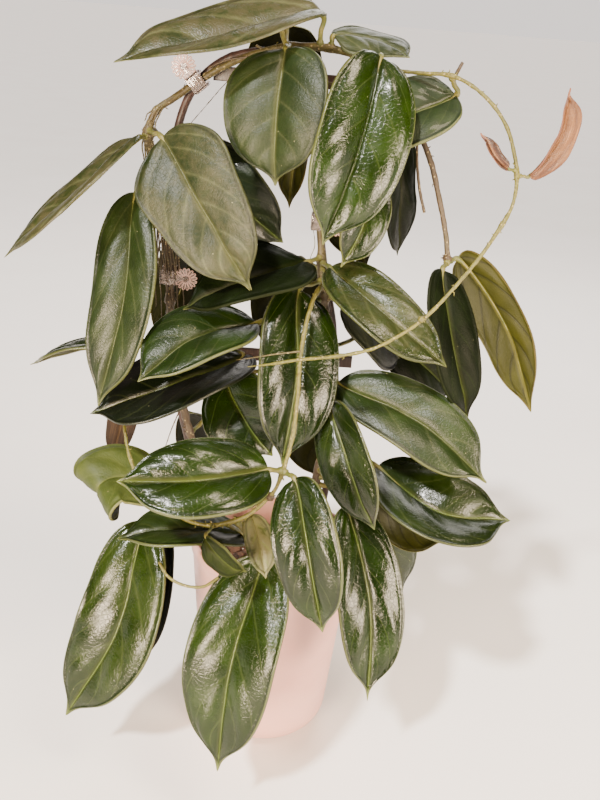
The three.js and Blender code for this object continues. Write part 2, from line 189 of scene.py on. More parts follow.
# How bright the backdrop is where the camera looks straight at it.
BACKDROP = 1.35
SUN_STRENGTH = 6.6
SUN_WAY = (0.46, 0.85, -1.05)
LIT_POINT = (0, -0.03, 0.26)
# Each soft box's bearing in degrees from -Y towards +X, its height in degrees, how far off it is, its
# two sizes, its watts and its tint.
SOFT_BOXES = {
    "left soft box": (-24, 4, 1.15, 0.46, 0.34, 37, (1.0, 0.78, 0.55)),
    "right soft box": (50, 6, 1.2, 0.58, 0.38, 34, (1.0, 0.79, 0.57)),
    "high soft box": (44, 58, 1.2, 0.34, 0.3, 14, (1.0, 0.8, 0.6)),
    "back soft box": (165, 38, 1.5, 1.1, 0.8, 16, (1.0, 0.95, 0.9)),
}


def set_camera():
    camera = placed("camera", bpy.data.cameras.new("camera"))
    camera.data.lens = LENS
    camera.data.clip_start = 0.01
    tilt = Matrix.Rotation(math.radians(90 - LOOK_DOWN), 4, "X")
    lean = Matrix.Rotation(math.radians(LEAN), 4, "Z")
    camera.matrix_world = Matrix.Translation(Vector(EYE) * MM) @ tilt @ lean
    bpy.context.scene.camera = camera


def add_light(name, bearing, height, away, wide, tall, watts, tint):
    """An oval soft box turned to the middle of the plant."""
    turn, rise = math.radians(bearing), math.radians(height)
    way = Vector((math.sin(turn) * math.cos(rise), -math.cos(turn) * math.cos(rise), math.sin(rise)))
    light = placed(name, bpy.data.lights.new(name, "AREA"))
    light.data.shape = "ELLIPSE"
    light.data.size = wide
    light.data.size_y = tall
    light.data.energy = watts
    light.data.color = tint
    light.location = Vector(LIT_POINT) + way * away
    light.rotation_euler = (-way).to_track_quat("-Z", "Y").to_euler()


def set_stage():
    """A pale ceiling and backdrop, a sun from the upper left, and a ring of soft boxes."""
    world = bpy.data.worlds.new("studio")
    bpy.context.scene.world = world
    world.use_nodes = True
    node = partial(add, world.node_tree)
    _, back, up = node("SeparateXYZ", node("TexCoord").outputs["Generated"]).outputs
    level = node("ease", node("Math", up, settings={"operation": "ABSOLUTE"}), 0.06, 0.14, 1.0, 0.0)
    backdrop = node("times", level, node("ease", back, 0.5, 0.7))
    ceiling = node("plus", node("ease", up, 0.3, 0.85, 0.06, 0.5), node("times", backdrop, 1.6))
    seen = node("LightPath").outputs["Is Camera Ray"]
    white = node("Math", seen, backdrop, settings={"operation": "MAXIMUM"})
    fill(
        world.node_tree.nodes["Background"],
        Color=node("mix", white, "#ffe4d2", "#fff6f0"),
        Strength=node("Mix", seen, ceiling, BACKDROP, settings={"data_type": "FLOAT"}),
    )
    sun = placed("sun", bpy.data.lights.new("sun", "SUN"))
    sun.data.energy = SUN_STRENGTH
    sun.data.angle = math.radians(4)
    sun.data.color = (1.0, 0.95, 0.9)
    sun.rotation_euler = Vector(SUN_WAY).to_track_quat("-Z", "Y").to_euler()
    for name, box in SOFT_BOXES.items():
        add_light(name, *box)
    bpy.ops.mesh.primitive_plane_add(size=60, location=(0, 20, 0))
    floor = settle(bpy.context.object)
    floor.name = "floor"
    floor.data.materials.append(painted_floor())


# ---- finishes ----

def colour(code):
    """A hex colour on the screen's scale as the renderer's own numbers."""
    parts = [int(code[i : i + 2], 16) / 255 for i in (1, 3, 5)]
    return [p / 12.92 if p <= 0.04045 else ((p + 0.055) / 1.055) ** 2.4 for p in parts] + [1]


# Short names for the nodes that are wanted again and again, each with its one setting.
SHORT_NAMES = {
    "mix": ("Mix", {"data_type": "RGBA"}),
    "ease": ("MapRange", {"interpolation_type": "SMOOTHSTEP"}),
    "times": ("Math", {"operation": "MULTIPLY"}),
    "plus": ("Math", {"operation": "ADD"}),
    "minus": ("Math", {"operation": "SUBTRACT"}),
    "noise": ("TexNoise", {}),
    "cells": ("TexVoronoi", {}),
    "cell walls": ("TexVoronoi", {"feature": "DISTANCE_TO_EDGE"}),
}


def fill(node, *inputs, **named):
    """Gives a node's sockets, in order or by name with _ for a space, a number, a hex colour,
    another node's socket, or another node, which stands for its first output."""
    open_sockets = [socket for socket in node.inputs if socket.enabled]
    given = list(zip(open_sockets, inputs))
    given += [(node.inputs[name.replace("_", " ")], value) for name, value in named.items()]
    for socket, value in given:
        if isinstance(value, bpy.types.Node):
            value = next(output for output in value.outputs if output.enabled)
        if isinstance(value, bpy.types.NodeSocket):
            node.id_data.links.new(value, socket)
        else:
            socket.default_value = colour(value) if isinstance(value, str) else value
    return node


def add(tree, kind, *inputs, settings=None, **named):
    """Adds one node by its short name or its own, with its settings, and fills its inputs."""
    kind, usual = SHORT_NAMES.get(kind, (kind, {}))
    node = tree.nodes.new("ShaderNode" + kind)
    for name, value in {**usual, **(settings or {})}.items():
        setattr(node, name, value)
    return fill(node, *inputs, **named)


def new_finish(name):
    """An empty material, with the call that adds a node to it, its shader and the object's coordinates."""
    material = bpy.data.materials.new(name)
    material.use_nodes = True
    node = partial(add, material.node_tree)
    shader = material.node_tree.nodes["Principled BSDF"]
    return material, node, shader, node("TexCoord").outputs["Object"]


def every(size):
    """The scale that gives a pattern a real size in mm."""
    return 1 / (size * MM)


def painted_floor():
    """Matt emulsion paint: pale, faintly clouded, and with hardly any reflection."""
    material, node, shader, place = new_finish("pale studio floor")
    clouds = node("noise", Vector=place, Scale=every(166.7), Detail=3.0)
    paint = node("mix", clouds, "#e6e3e0", "#eeecea")
    fill(shader, Base_Color=paint, Roughness=0.7, Specular_IOR_Level=0.2)
    return material


# ---- leaves ----

# A packed leaf is a chain of rings with this many corners each, at these shares of its length: below 0
# is the stalk, and 1 is the tip.
RING = 8
STATIONS = np.array([-1, -0.5, -0.08, 0.03, 0.1, 0.22, 0.38, 0.55, 0.71, 0.85, 0.95, 1])
STALK_RINGS = 3
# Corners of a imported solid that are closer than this, in metres, are one.
WELD = 2e-5
# Half the width, in metres, over which a leaf has a thick stalk, and the two radii of stalk in mm.
BROAD_LEAF = 0.011
THICK_STALK = 1.4
THIN_STALK = 0.85
BLADE_ACROSS = 28
BLADE_ALONG = 72
# How much closer the blade's rows of faces are at rib and rim, and at foot and tip.
CROWDED_ACROSS = 0.72
CROWDED_ALONG = 0.55
BLADE_THICK = 1.15
# The share of that thickness left at the margin.
MARGIN_SHARE = 0.3
# The blade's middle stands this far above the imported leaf's middle line, and it swells in slow lumps.
RAISED = 0.45
LUMP_SIZE = 16
# The vein count is kept as a share of this in the blade's coordinates.
VEIN_STEP = 16
# The numbers that a leaf's finish reads from its mesh.
LEAF_MARKS = ("tone", "haze", "dull", "rib")


def read_leaf(node):
    """Reads a packed leaf's middle line, sides and upper directions, from stalk end to tip."""
    mesh = bmesh.new()
    mesh.from_mesh(frame["nodes"][node].data)
    bmesh.ops.remove_doubles(mesh, verts=mesh.verts, dist=WELD)

    def around(vertex):
        return [edge.other_vert(vertex) for edge in vertex.link_edges]

    def roundness(pole):
        ring = np.array([v.co for v in around(pole)])
        spread = np.linalg.svd(ring - ring.mean(0), compute_uv=False)
        return spread[1] / spread[0]

    tip, hub = sorted((v for v in mesh.verts if len(v.link_edges) == RING), key=roundness)
    rings = []
    seen = {tip}
    level = [tip]
    while True:
        level = list(dict.fromkeys(w for v in level for w in around(v) if w not in seen))
        if len(level) < RING:
            break
        seen.update(level)
        walk = [level[0]]
        while len(walk) < RING:
            walk.append(next(w for w in around(walk[-1]) if w in level and w not in walk))
        rings.insert(0, np.array([v.co for v in walk]))
    centres = [ring.mean(0) for ring in rings]
    widest = []
    for i, ring in enumerate(rings):
        across = np.linalg.norm(ring - np.roll(ring, -RING // 2, axis=0), axis=1)
        widest.append(int(across.argmax()))
        if i >= STALK_RINGS:
            centres[i] = (ring[(widest[i] + RING // 4) % RING] + ring[(widest[i] - RING // 4) % RING]) / 2
    centres = np.array(centres + [np.array(tip.co)])
    ahead = unit(np.gradient(centres, STATIONS, axis=0))
    up = np.array(hub.co) - centres[0]
    mesh.free()
    ups, sides, halves, rises = [], [], [], []
    for i, direction in enumerate(ahead):
        up = unit(up - direction * (up @ direction))
        side = np.cross(direction, up)
        if STALK_RINGS <= i < len(rings):
            one, other = rings[i][widest[i]], rings[i][(widest[i] + RING // 2) % RING]
            if (one - other) @ side < 0:
                one, other = other, one
            side = unit(one - other)
            up = unit(np.cross(side, direction))
            halves.append(np.linalg.norm(one - other) / 2)
            rises.append(((one + other) / 2 - centres[i]) @ up)
        ups.append(up)
        sides.append(side)
    return {
        "centres": centres,
        "ups": np.array(ups),
        "sides": np.array(sides),
        "halves": np.array(halves),
        "fold": float(np.mean(np.array(rises)[1:6] / np.array(halves)[1:6])),
    }


def spline(knots, values, wanted):
    """A smooth curve through values that are given at uneven knots."""
    slopes = np.gradient(values, knots, axis=0)
    i = np.clip(np.searchsorted(knots, wanted, side="right") - 1, 0, len(knots) - 2)
    step = knots[i + 1] - knots[i]
    t = (wanted - knots[i]) / step
    if np.ndim(values) > 1:
        step, t = step[:, None], t[:, None]
    first = (1 + 2 * t) * (1 - t) ** 2 * values[i] + t * (1 - t) ** 2 * step * slopes[i]
    last = t * t * (3 - 2 * t) * values[i + 1] - t * t * (1 - t) * step * slopes[i + 1]
    return first + last


def outline(s, widest=0.45):
    """Half width of a packed blade as a share of its widest."""
    base = (1 - (1 - np.minimum(s / widest, 1)) ** 2.3) ** 0.62
    tip = np.clip(np.cos(np.pi / 2 * np.clip((s - widest) / (1 - widest), 0, 1)), 0, 1) ** 0.85
    return np.where(s < widest, base, tip * (1 - 0.3 * s**12))


def full_outline(s, drip, widest=0.45):
    """The real blade's outline: the same base, fuller shoulders, then a short tip drawn in like a drip."""
    u = np.clip((s - widest) / (1 - widest), 0, 1)
    tip = (1 - u**2.4) ** 0.9 * (1 - drip * hump(u, 0.95, 0.17))
    return np.where(s < widest, outline(s, widest), tip)


def frame_at(leaf, s):
    """Places, sides and ups on a leaf's middle line, in metres, at shares s from -1 (stalk) to 1 (tip)."""
    nudge = 1e-3
    before, centre, after = (spline(STATIONS, leaf["centres"], s + move) for move in (-nudge, 0, nudge))
    ahead = unit(after - before)
    up = spline(STATIONS, leaf["ups"], s)
    up = unit(up - ahead * np.sum(up * ahead, axis=1, keepdims=True))
    return centre, np.cross(ahead, up), up


def crowded(share, strength):
    """Shares from 0 to 1, drawn towards both ends."""
    return share - strength * np.sin(2 * np.pi * share) / (2 * np.pi)


def make_blade_master():
    """A flat blade blank, one unit to each side of the midrib and one unit long, closer at rib and rim."""
    bpy.ops.mesh.primitive_grid_add(x_subdivisions=BLADE_ACROSS, y_subdivisions=BLADE_ALONG, size=2)
    blank = bpy.context.object
    blank.name = "blade_blank"
    points = points_of(blank.data)
    x, y = points[:, 0], (points[:, 1] + 1) / 2
    points[:, 0] = np.sign(x) * crowded(np.abs(x), CROWDED_ACROSS)
    points[:, 1] = crowded(y, CROWDED_ALONG)
    set_points(blank.data, points)
    for end in (0, 1):
        bpy.ops.object.mode_set(mode="EDIT")
        bpy.ops.mesh.select_all(action="DESELECT")
        bpy.ops.object.mode_set(mode="OBJECT")
        for vertex in blank.data.vertices:
            vertex.select = abs(vertex.co.y - end) < SAME_PLACE
        bpy.ops.object.mode_set(mode="EDIT")
        bpy.ops.mesh.merge(type="CENTER")
        bpy.ops.object.mode_set(mode="OBJECT")
    thick = blank.vertex_groups.new(name="Thick")
    for vertex in blank.data.vertices:
        across, along = abs(vertex.co.x), vertex.co.y
        thick.add([vertex.index], float((1 - across**6) * (1 - along**10)), "REPLACE")
    return blank


def relief(v, s, half, length, traits, side):
    """How far the blade's upper face rises or sinks: rib, veins, quilting, waves and rim. All is in mm."""
    from_rib = np.abs(v) * half
    phase = vein_phase(v, s, traits, side)
    from_vein = np.abs(phase - np.round(phase)) / traits["veins"] * length * 0.8
    ends = ramp(s, 0.0, 0.1) * (1 - ramp(s, 0.86, 0.98))
    small = min(1.0, np.max(half) / 24)
    from_rim = (1 - np.abs(v)) * half
    rib = -0.9 * hump(from_rib, 0, 0.8) + 0.45 * hump(from_rib, 2.2, 1.3)
    pleats = traits["pleats"] * np.cos(2 * np.pi * from_rib / 6.5 + side) * hump(from_rib, 0, 11)
    fade = ramp(from_rib, 0.6, 2.5) * (1 - ramp(np.abs(v), 0.55, 0.95))
    vein = -0.36 * hump(from_vein, 0, 1.5) * fade
    swell = 0.55 + 0.45 * np.sin(2.4 * np.floor(phase) + 1.7 * side + traits["seed"])
    quilt = np.abs(np.sin(np.pi * phase)) ** 0.9 * 4 * np.abs(v) * (1 - np.abs(v)) * swell
    waves = traits["wave"] * np.sin(2 * np.pi * (traits["waves"] * s + traits["start"] + 0.37 * side))
    rim = 0.75 * hump(from_rim, 1.0, 0.6) - 0.75 * hump(from_rim, 2.5, 0.8)
    rim -= 0.7 * hump(from_rim, 0, 0.5)
    lift = (rib * (1 - 0.6 * s) + pleats * (1 - s) + vein + quilt * traits["quilt"]) * ends + rim * ends
    return small * lift + waves * np.abs(v) ** 3 * ends


def vein_phase(v, s, traits, side):
    """Counts the side veins along the blade: a vein runs where this is a whole number."""
    lean = traits["lean"] * (0.62 * np.abs(v) + 0.38 * np.abs(v) ** 2.2)
    return traits["veins"] * (s - lean) + traits["start"] + 0.45 * (side > 0)


def lumps(points, size, seed):
    """Slow random swelling, -1 to 1, over lumps of the given size in mm."""
    scale = 1 / (size * MM)
    return np.array([noise.noise(Vector(p) * scale + Vector((seed, 0, 0))) for p in points])


def lay_blade(blank, name, leaf, traits):
    """Lays a copy of the flat blank along a leaf's middle line and gives it the blade's relief."""
    blade = copy_of(blank, name)
    flat = points_of(blade.data)
    v, s = flat[:, 0], flat[:, 1]
    knots = np.concatenate([[0], STATIONS[STALK_RINGS:]])
    ratio = leaf["halves"] / outline(STATIONS[STALK_RINGS:-1])
    ratio = spline(knots, np.concatenate([ratio[:1], ratio, ratio[-1:]]), s)
    half = ratio * full_outline(s, traits["drip"]) * traits["slim"]
    half *= 1 + traits["blunt"] * ramp(s, 0.5, 0.92) + traits["full"] * hump(s, 0.22, 0.16)
    centre, side, up = frame_at(leaf, s)
    length = np.linalg.norm(np.diff(frame_at(leaf, np.linspace(0, 1, 40))[0], axis=0), axis=1).sum() / MM
    rise = leaf["fold"] * half * (np.sqrt(v * v + 0.0025) - 0.05)
    rise += traits["puff"] * half * np.sin(np.pi * np.abs(v) ** 0.85)
    lift = relief(v, s, half / MM, length, traits, np.sign(v)) + RAISED
    swelling = lumps(centre + side * (half * v)[:, None], LUMP_SIZE, traits["seed"])
    lift += traits["lumps"] * swelling * (1 - v**4)
    if "roll_from" in traits:
        centre, side, up = rolled_under(leaf, s, centre, side, up, traits)
    points = centre + side * (half * v)[:, None]
    points += up * (rise + lift * MM)[:, None]
    curl = ramp(s, traits["curl_from"], 1.0)[:, None] * traits["curl"] * MM
    points -= up * curl
    set_points(blade.data, points)
    mark_blade(blade.data, v, s, half / MM, traits)
    return blade


def rolled_under(leaf, s, centre, side, up, traits):
    """Turns a blade down and under by roll_turn degrees, from roll_from to roll_until; the tip hangs on."""
    start, until = traits["roll_from"], traits["roll_until"]
    line = frame_at(leaf, np.linspace(start, 1, 30))
    reach = np.linalg.norm(np.diff(line[0], axis=0), axis=1).sum()
    hinge, sideways, upwards = (part[0] for part in line)
    ahead = np.cross(upwards, sideways)
    full = math.radians(traits["roll_turn"])
    turn = full * np.clip((s - start) / (until - start), 0, 1)[:, None]
    radius = reach * (until - start) / (1 - start) / full
    rolled = hinge + radius * (np.sin(turn) * ahead - (1 - np.cos(turn)) * upwards)
    left_over = reach * np.clip((s - until) / (1 - start), 0, 1)[:, None]
    rolled = rolled + left_over * (math.cos(full) * ahead - math.sin(full) * upwards)
    beyond = (s > start)[:, None]
    return (
        np.where(beyond, rolled, centre),
        np.where(beyond, sideways, side),
        np.where(beyond, np.sin(turn) * ahead + np.cos(turn) * upwards, up),
    )


def mark_blade(mesh, v, s, half, traits):
    """Two sets of coordinates for the finish, in shares that grow with the blade's real size:
    'Rib and rim' is the distance from rib and from rim in dm, 'Veins' is the vein count and s."""
    corner_vertex = np.empty(len(mesh.loops), int)
    mesh.loops.foreach_get("vertex_index", corner_vertex)
    face_of = np.repeat(np.arange(len(mesh.polygons)), [p.loop_total for p in mesh.polygons])
    side_of = np.array([np.sign(v[list(p.vertices)].sum()) for p in mesh.polygons])
    phase = vein_phase(v[corner_vertex], s[corner_vertex], traits, side_of[face_of])
    from_rib = (np.abs(v) * half)[corner_vertex] * MM / DM
    from_rim = ((1 - np.abs(v)) * half)[corner_vertex] * MM / DM
    mesh.uv_layers[0].name = "Rib and rim"
    mesh.uv_layers.new(name="Veins")
    for name, first, second in (
        ("Rib and rim", from_rib, from_rim),
        ("Veins", phase / VEIN_STEP, s[corner_vertex]),
    ):
        mesh.uv_layers[name].data.foreach_set("uv", np.stack([first, second], 1).ravel())


def tube(name, path, radii, material, sides=12):
    """A round stem along a path, made as a bevelled curve. Path and radii are in mm."""
    line = bpy.data.curves.new(name, "CURVE")
    line.dimensions = "3D"
    line.bevel_depth = MM
    line.bevel_resolution = (sides - 4) // 2
    line.use_fill_caps = True
    run = line.splines.new("POLY")
    run.points.add(len(path) - 1)
    run.points.foreach_set("co", np.column_stack([np.asarray(path) * MM, np.ones(len(path))]).ravel())
    run.points.foreach_set("radius", np.asarray(radii, float))
    take(placed(name, line))
    bpy.ops.object.convert(target="MESH")
    piece = bpy.context.object
    piece.data.materials.append(material)
    smooth(piece)
    return piece


def make_stalk(name, leaf, traits, material):
    """The stalk, which runs on under the blade as its midrib and thins to nothing near the tip."""
    s = np.concatenate([np.linspace(-1, 0.1, 22), np.linspace(0.14, 0.86, 14)])
    centre, side, up = frame_at(leaf, s)
    if "roll_from" in traits:
        centre, side, up = rolled_under(leaf, s, centre, side, up, traits)
    path = centre / MM - up * (ramp(s, -0.06, 0.1) * traits["sunk"])[:, None]
    inward = unit(path[0] - path[1])
    path = np.vstack([path[0] + inward * 2.2, path])
    swell = 0.55 * hump(s, -1, 0.09) + 0.35 * hump(s, -0.02, 0.12)
    radii = traits["stalk"] * (1 + swell) * (1 - ramp(s, -0.05, 0.16) * 0.52)
    radii *= 1 - 0.85 * ramp(s, 0.1, 0.86)
    return tube(name, path, np.concatenate([radii[:1], radii]), material, 10)


def make_leaf(blank, node, finishes, seed):
    random.seed(seed)
    leaf = read_leaf(node)
    traits = {
        "seed": seed,
        "veins": random.choice((4, 5, 5, 6)),
        "lean": random.uniform(0.32, 0.44),
        "drip": random.uniform(0.4, 0.65),
        "puff": random.uniform(0.08, 0.12),
        "start": random.random(),
        "wave": random.uniform(0.3, 1.0),
        "waves": random.uniform(1.4, 2.6),
        "quilt": random.uniform(0.8, 1.4),
        "lumps": random.uniform(0.4, 0.7),
        "stalk": THICK_STALK if leaf["halves"].max() > BROAD_LEAF else THIN_STALK,
        "slim": 1.0,
        "rib": 0.1,
        "pleats": 0.0,
        "blunt": 0.0,
        "grow": 1.0,
        "swing": 0.0,
        "full": 0.0,
        "sunk": 0.75,
        "curl": random.uniform(0, 3),
        "curl_from": 0.78,
        "tone": random.uniform(0.25, 0.6),
        "haze": random.uniform(0.0, 0.12),
        "dull": random.uniform(0.0, 0.15),
    }
    traits.update(LEAF_TRAITS.get(node, {}))
    foot = leaf["centres"][STALK_RINGS - 1].copy()
    swing = np.array(Matrix.Rotation(math.radians(traits["swing"]), 3, "Y"))
    leaf["centres"][STALK_RINGS:] = foot + (leaf["centres"][STALK_RINGS:] - foot) @ swing * traits["grow"]
    leaf["ups"][STALK_RINGS:] = leaf["ups"][STALK_RINGS:] @ swing
    leaf["halves"] *= traits["grow"]
    blade = lay_blade(blank, node + "_blade", leaf, traits)
    blade.data.materials.clear()
    for finish in finishes[:3]:
        blade.data.materials.append(finish)
    shell = blade.modifiers.new("thick", "SOLIDIFY")
    shell.thickness = BLADE_THICK * MM
    shell.offset = -1
    shell.vertex_group = "Thick"
    shell.thickness_vertex_group = MARGIN_SHARE
    shell.material_offset = 1
    shell.material_offset_rim = 2
    apply_modifiers(blade)
    smooth(blade)
    stalk = make_stalk(node + "_stalk", leaf, traits, finishes[3])
    whole = joined([blade, stalk], node.replace("leaf", "fine_leaf"))
    whole.vertex_groups.clear()
    for name in LEAF_MARKS:
        mark(whole, name, traits[name])
    finished(whole, SLOTS.get(node, "leaf"), node)
    return leaf["centres"][0]


# What sets single leaves apart. tone goes from -1 to 1: above 0 it picks between the dim and light greens,
# and below 0 it paints shade, darkening a leaf that sits in shadow towards black-green. haze paints a
# greyish sheen into the colour, the broad reflection of lamps and ceiling, dull makes the skin rougher,
# and rib draws the midrib pale, or dark below 0. quilt, pleats, wave, lumps and puff shape the blade,
# veins counts its side veins, and drip, slim, blunt and full change its outline.
# sunk is how deep in mm the stalk lies in the blade, and grow and swing enlarge a blade and tip it.
LEAF_TRAITS = {
    "leaf_bronze": {"slim": 0.85, "tone": 0.8, "drip": 0.95, "pleats": 0.7, "wave": 0.8},
    "leaf_bronze_small": {"slim": 0.72, "tone": -0.75, "pleats": 0.4},
    "leaf_dry": {"tone": 0.0, "lumps": 1.5, "wave": 1.6},
    "leaf_crown_back": {"slim": 0.68, "tone": 0.5, "dull": 0.8},
    "leaf_crown_middle": {"tone": 0.8, "haze": 0.22, "dull": 0.3, "veins": 5, "drip": 0.7, "rib": 0.3,
                          "sunk": 1.8, "quilt": 1.3},
    "leaf_crown_left": {"tone": 1.0, "haze": 1.3, "dull": 0.0, "pleats": 0.7, "quilt": 1.3},
    "leaf_crown_right": {"tone": 0.9, "haze": 0.5, "dull": 0.3},
    "leaf_crown_front": {"tone": 0.45, "haze": 0.0, "dull": 0.1, "quilt": 1.5, "lumps": 0.8, "puff": 0.15,
                         "drip": 0.6, "pleats": 0.7, "rib": -0.8},
    "leaf_crown_dark": {"tone": -0.5, "haze": 0.0, "slim": 0.85},
    "leaf_crown_far": {"tone": 0.5, "dull": 0.9},
    "leaf_shoulder": {"tone": 0.7, "haze": 0.85, "dull": 0.3, "drip": 0.75, "quilt": 1.5, "lumps": 1.3,
                      "full": 0.2, "sunk": 1.8, "rib": 0.25},
    "leaf_behind_shoulder": {"tone": 0.3, "dull": 0.6},
    "leaf_far_left": {"tone": 1.0, "haze": 1.5, "dull": 0.0},
    "leaf_left_long": {"tone": 0.6, "haze": 0.15, "dull": 0.05, "veins": 5, "quilt": 1.4, "pleats": 0.4},
    "leaf_left_dark": {"tone": -0.6, "haze": 0.0, "dull": 0.3},
    "leaf_middle_upper": {"tone": -0.1, "haze": 0.0, "full": 0.35},
    "leaf_middle_left": {"tone": 0.7, "haze": 0.0, "dull": 0.0, "quilt": 0.7},
    "leaf_middle_tall": {"tone": 0.15, "haze": 0.0, "puff": 0.14, "quilt": 1.5, "veins": 5},
    "leaf_middle_shade": {"tone": 0.0, "dull": 0.3},
    "leaf_curled": {"tone": 1.0, "haze": 0.15, "roll_from": 0.56, "roll_until": 0.74, "curl": 0.0,
                    "roll_turn": 125, "puff": 0.04, "blunt": 0.2, "drip": 0.2, "pleats": 0.5, "dull": 0.6},
    "leaf_right_dark": {"tone": -0.3, "haze": 0.0},
    "leaf_right_turned": {"tone": 0.6, "veins": 5, "quilt": 1.2},
    "leaf_right_back": {"tone": -0.4},
    "leaf_right_wide": {"tone": 0.9, "dull": 0.1, "quilt": 1.1, "drip": 0.7, "haze": 0.1},
    "leaf_middle_right": {"tone": 0.9, "haze": 0.6, "dull": -0.2, "wave": 1.2, "quilt": 1.3},
    "leaf_front_left": {"tone": 0.35, "haze": 0.0, "dull": 0.08, "quilt": 1.9, "lumps": 0.7, "puff": 0.2,
                        "veins": 5, "lean": 0.42, "rib": 0.2, "drip": 0.5},
    "leaf_front_right": {"tone": 0.35, "haze": 0.0, "puff": 0.16, "quilt": 1.9, "veins": 5, "pleats": 0.4},
    "leaf_foot_right": {"tone": 0.35, "haze": 0.0, "quilt": 1.8, "veins": 5, "drip": 0.8, "wave": 1.2},
    "leaf_foot_front": {"tone": 0.5, "haze": 0.1, "dull": 0.1, "drip": 0.7, "pleats": 0.8, "quilt": 1.8,
                        "veins": 5},
    "leaf_foot_left": {"tone": 0.5, "haze": 0.25, "pleats": 0.3},
    "leaf_foot_shade": {"tone": -0.7},
    "leaf_right_glossy": {"tone": 0.25, "haze": 0.1, "dull": 0.2, "quilt": 0.9, "lumps": 1.5},
    "leaf_under_left": {"tone": 0.3, "dull": 0.35},
    "leaf_young_front": {"tone": 1.0, "haze": 2.5, "slim": 0.85, "dull": 0.2, "rib": 0.4},
    "leaf_young_under": {"tone": 0.5, "slim": 0.8, "grow": 1.5, "swing": 55},
}
# Leaves painted in shade: they get the nearly black-green upper skin.
SHADED = {
    "leaf_crown_dark", "leaf_right_dark", "leaf_middle_upper", "leaf_foot_shade",
    "leaf_right_back", "leaf_young_under",
}
# Leaves with the rougher, nearly matt skin; the greyish sheen painted on them by their haze mark takes its
# colour from that finish.
SHEENED_MATT_LEAVES = {
    "leaf_shoulder", "leaf_crown_middle", "leaf_crown_left", "leaf_crown_right", "leaf_far_left",
    "leaf_left_long", "leaf_middle_left", "leaf_right_wide", "leaf_middle_right", "leaf_middle_shade",
}
WORN = {"leaf_curled", "leaf_young_front"}
SLOTS = {"leaf_bronze": "bronze_leaf", "leaf_bronze_small": "bronze_leaf", "leaf_dry": "dry_leaf"}


def blade_place(node, name):
    """One of the blade's two sets of coordinates, as its separate numbers."""
    return node("SeparateXYZ", node("UVMap", settings={"uv_map": name})).outputs


def from_vein(node):
    """The distance from the nearest side vein, as a share of the room between two veins."""
    count = node("times", blade_place(node, "Veins")[0], VEIN_STEP)
    return node("Math", count, 0.5, settings={"operation": "PINGPONG"})


def blade_marks(node):
    """Masks from the blade's two sets of coordinates: rib, rim and side veins."""
    from_rib, from_rim = blade_place(node, "Rib and rim")[:2]
    rib = node("ease", from_rib, 0.002, 0.008, 1.0, 0.0)
    rim = node("ease", from_rim, 0.006, 0.014, 1.0, 0.0)
    vein = node("ease", from_vein(node), 0.008, 0.06, 1.0, 0.0)
    return rib, rim, node("times", vein, node("ease", from_rim, 0.01, 0.04))


def painted_groove_shade(node):
    """The furrow between the blade's raised rim and its quilted middle, as a mask for the shade painted in
    it.
    """
    from_rim = blade_place(node, "Rib and rim")[1]
    inner = node("ease", from_rim, 0.024, 0.034, 1.0, 0.0)
    return node("times", node("ease", from_rim, 0.015, 0.021), inner)


def lengthwise(node, across, along):
    """Coordinates that follow the blade: across the blade per dm from the rib, and along it per length."""
    from_rib = node("times", blade_place(node, "Rib and rim")[0], across)
    count, share = blade_place(node, "Veins")[:2]
    down = node("times", node("plus", share, node("times", from_rib, -0.02)), along)
    return node("CombineXYZ", from_rib, down, count)


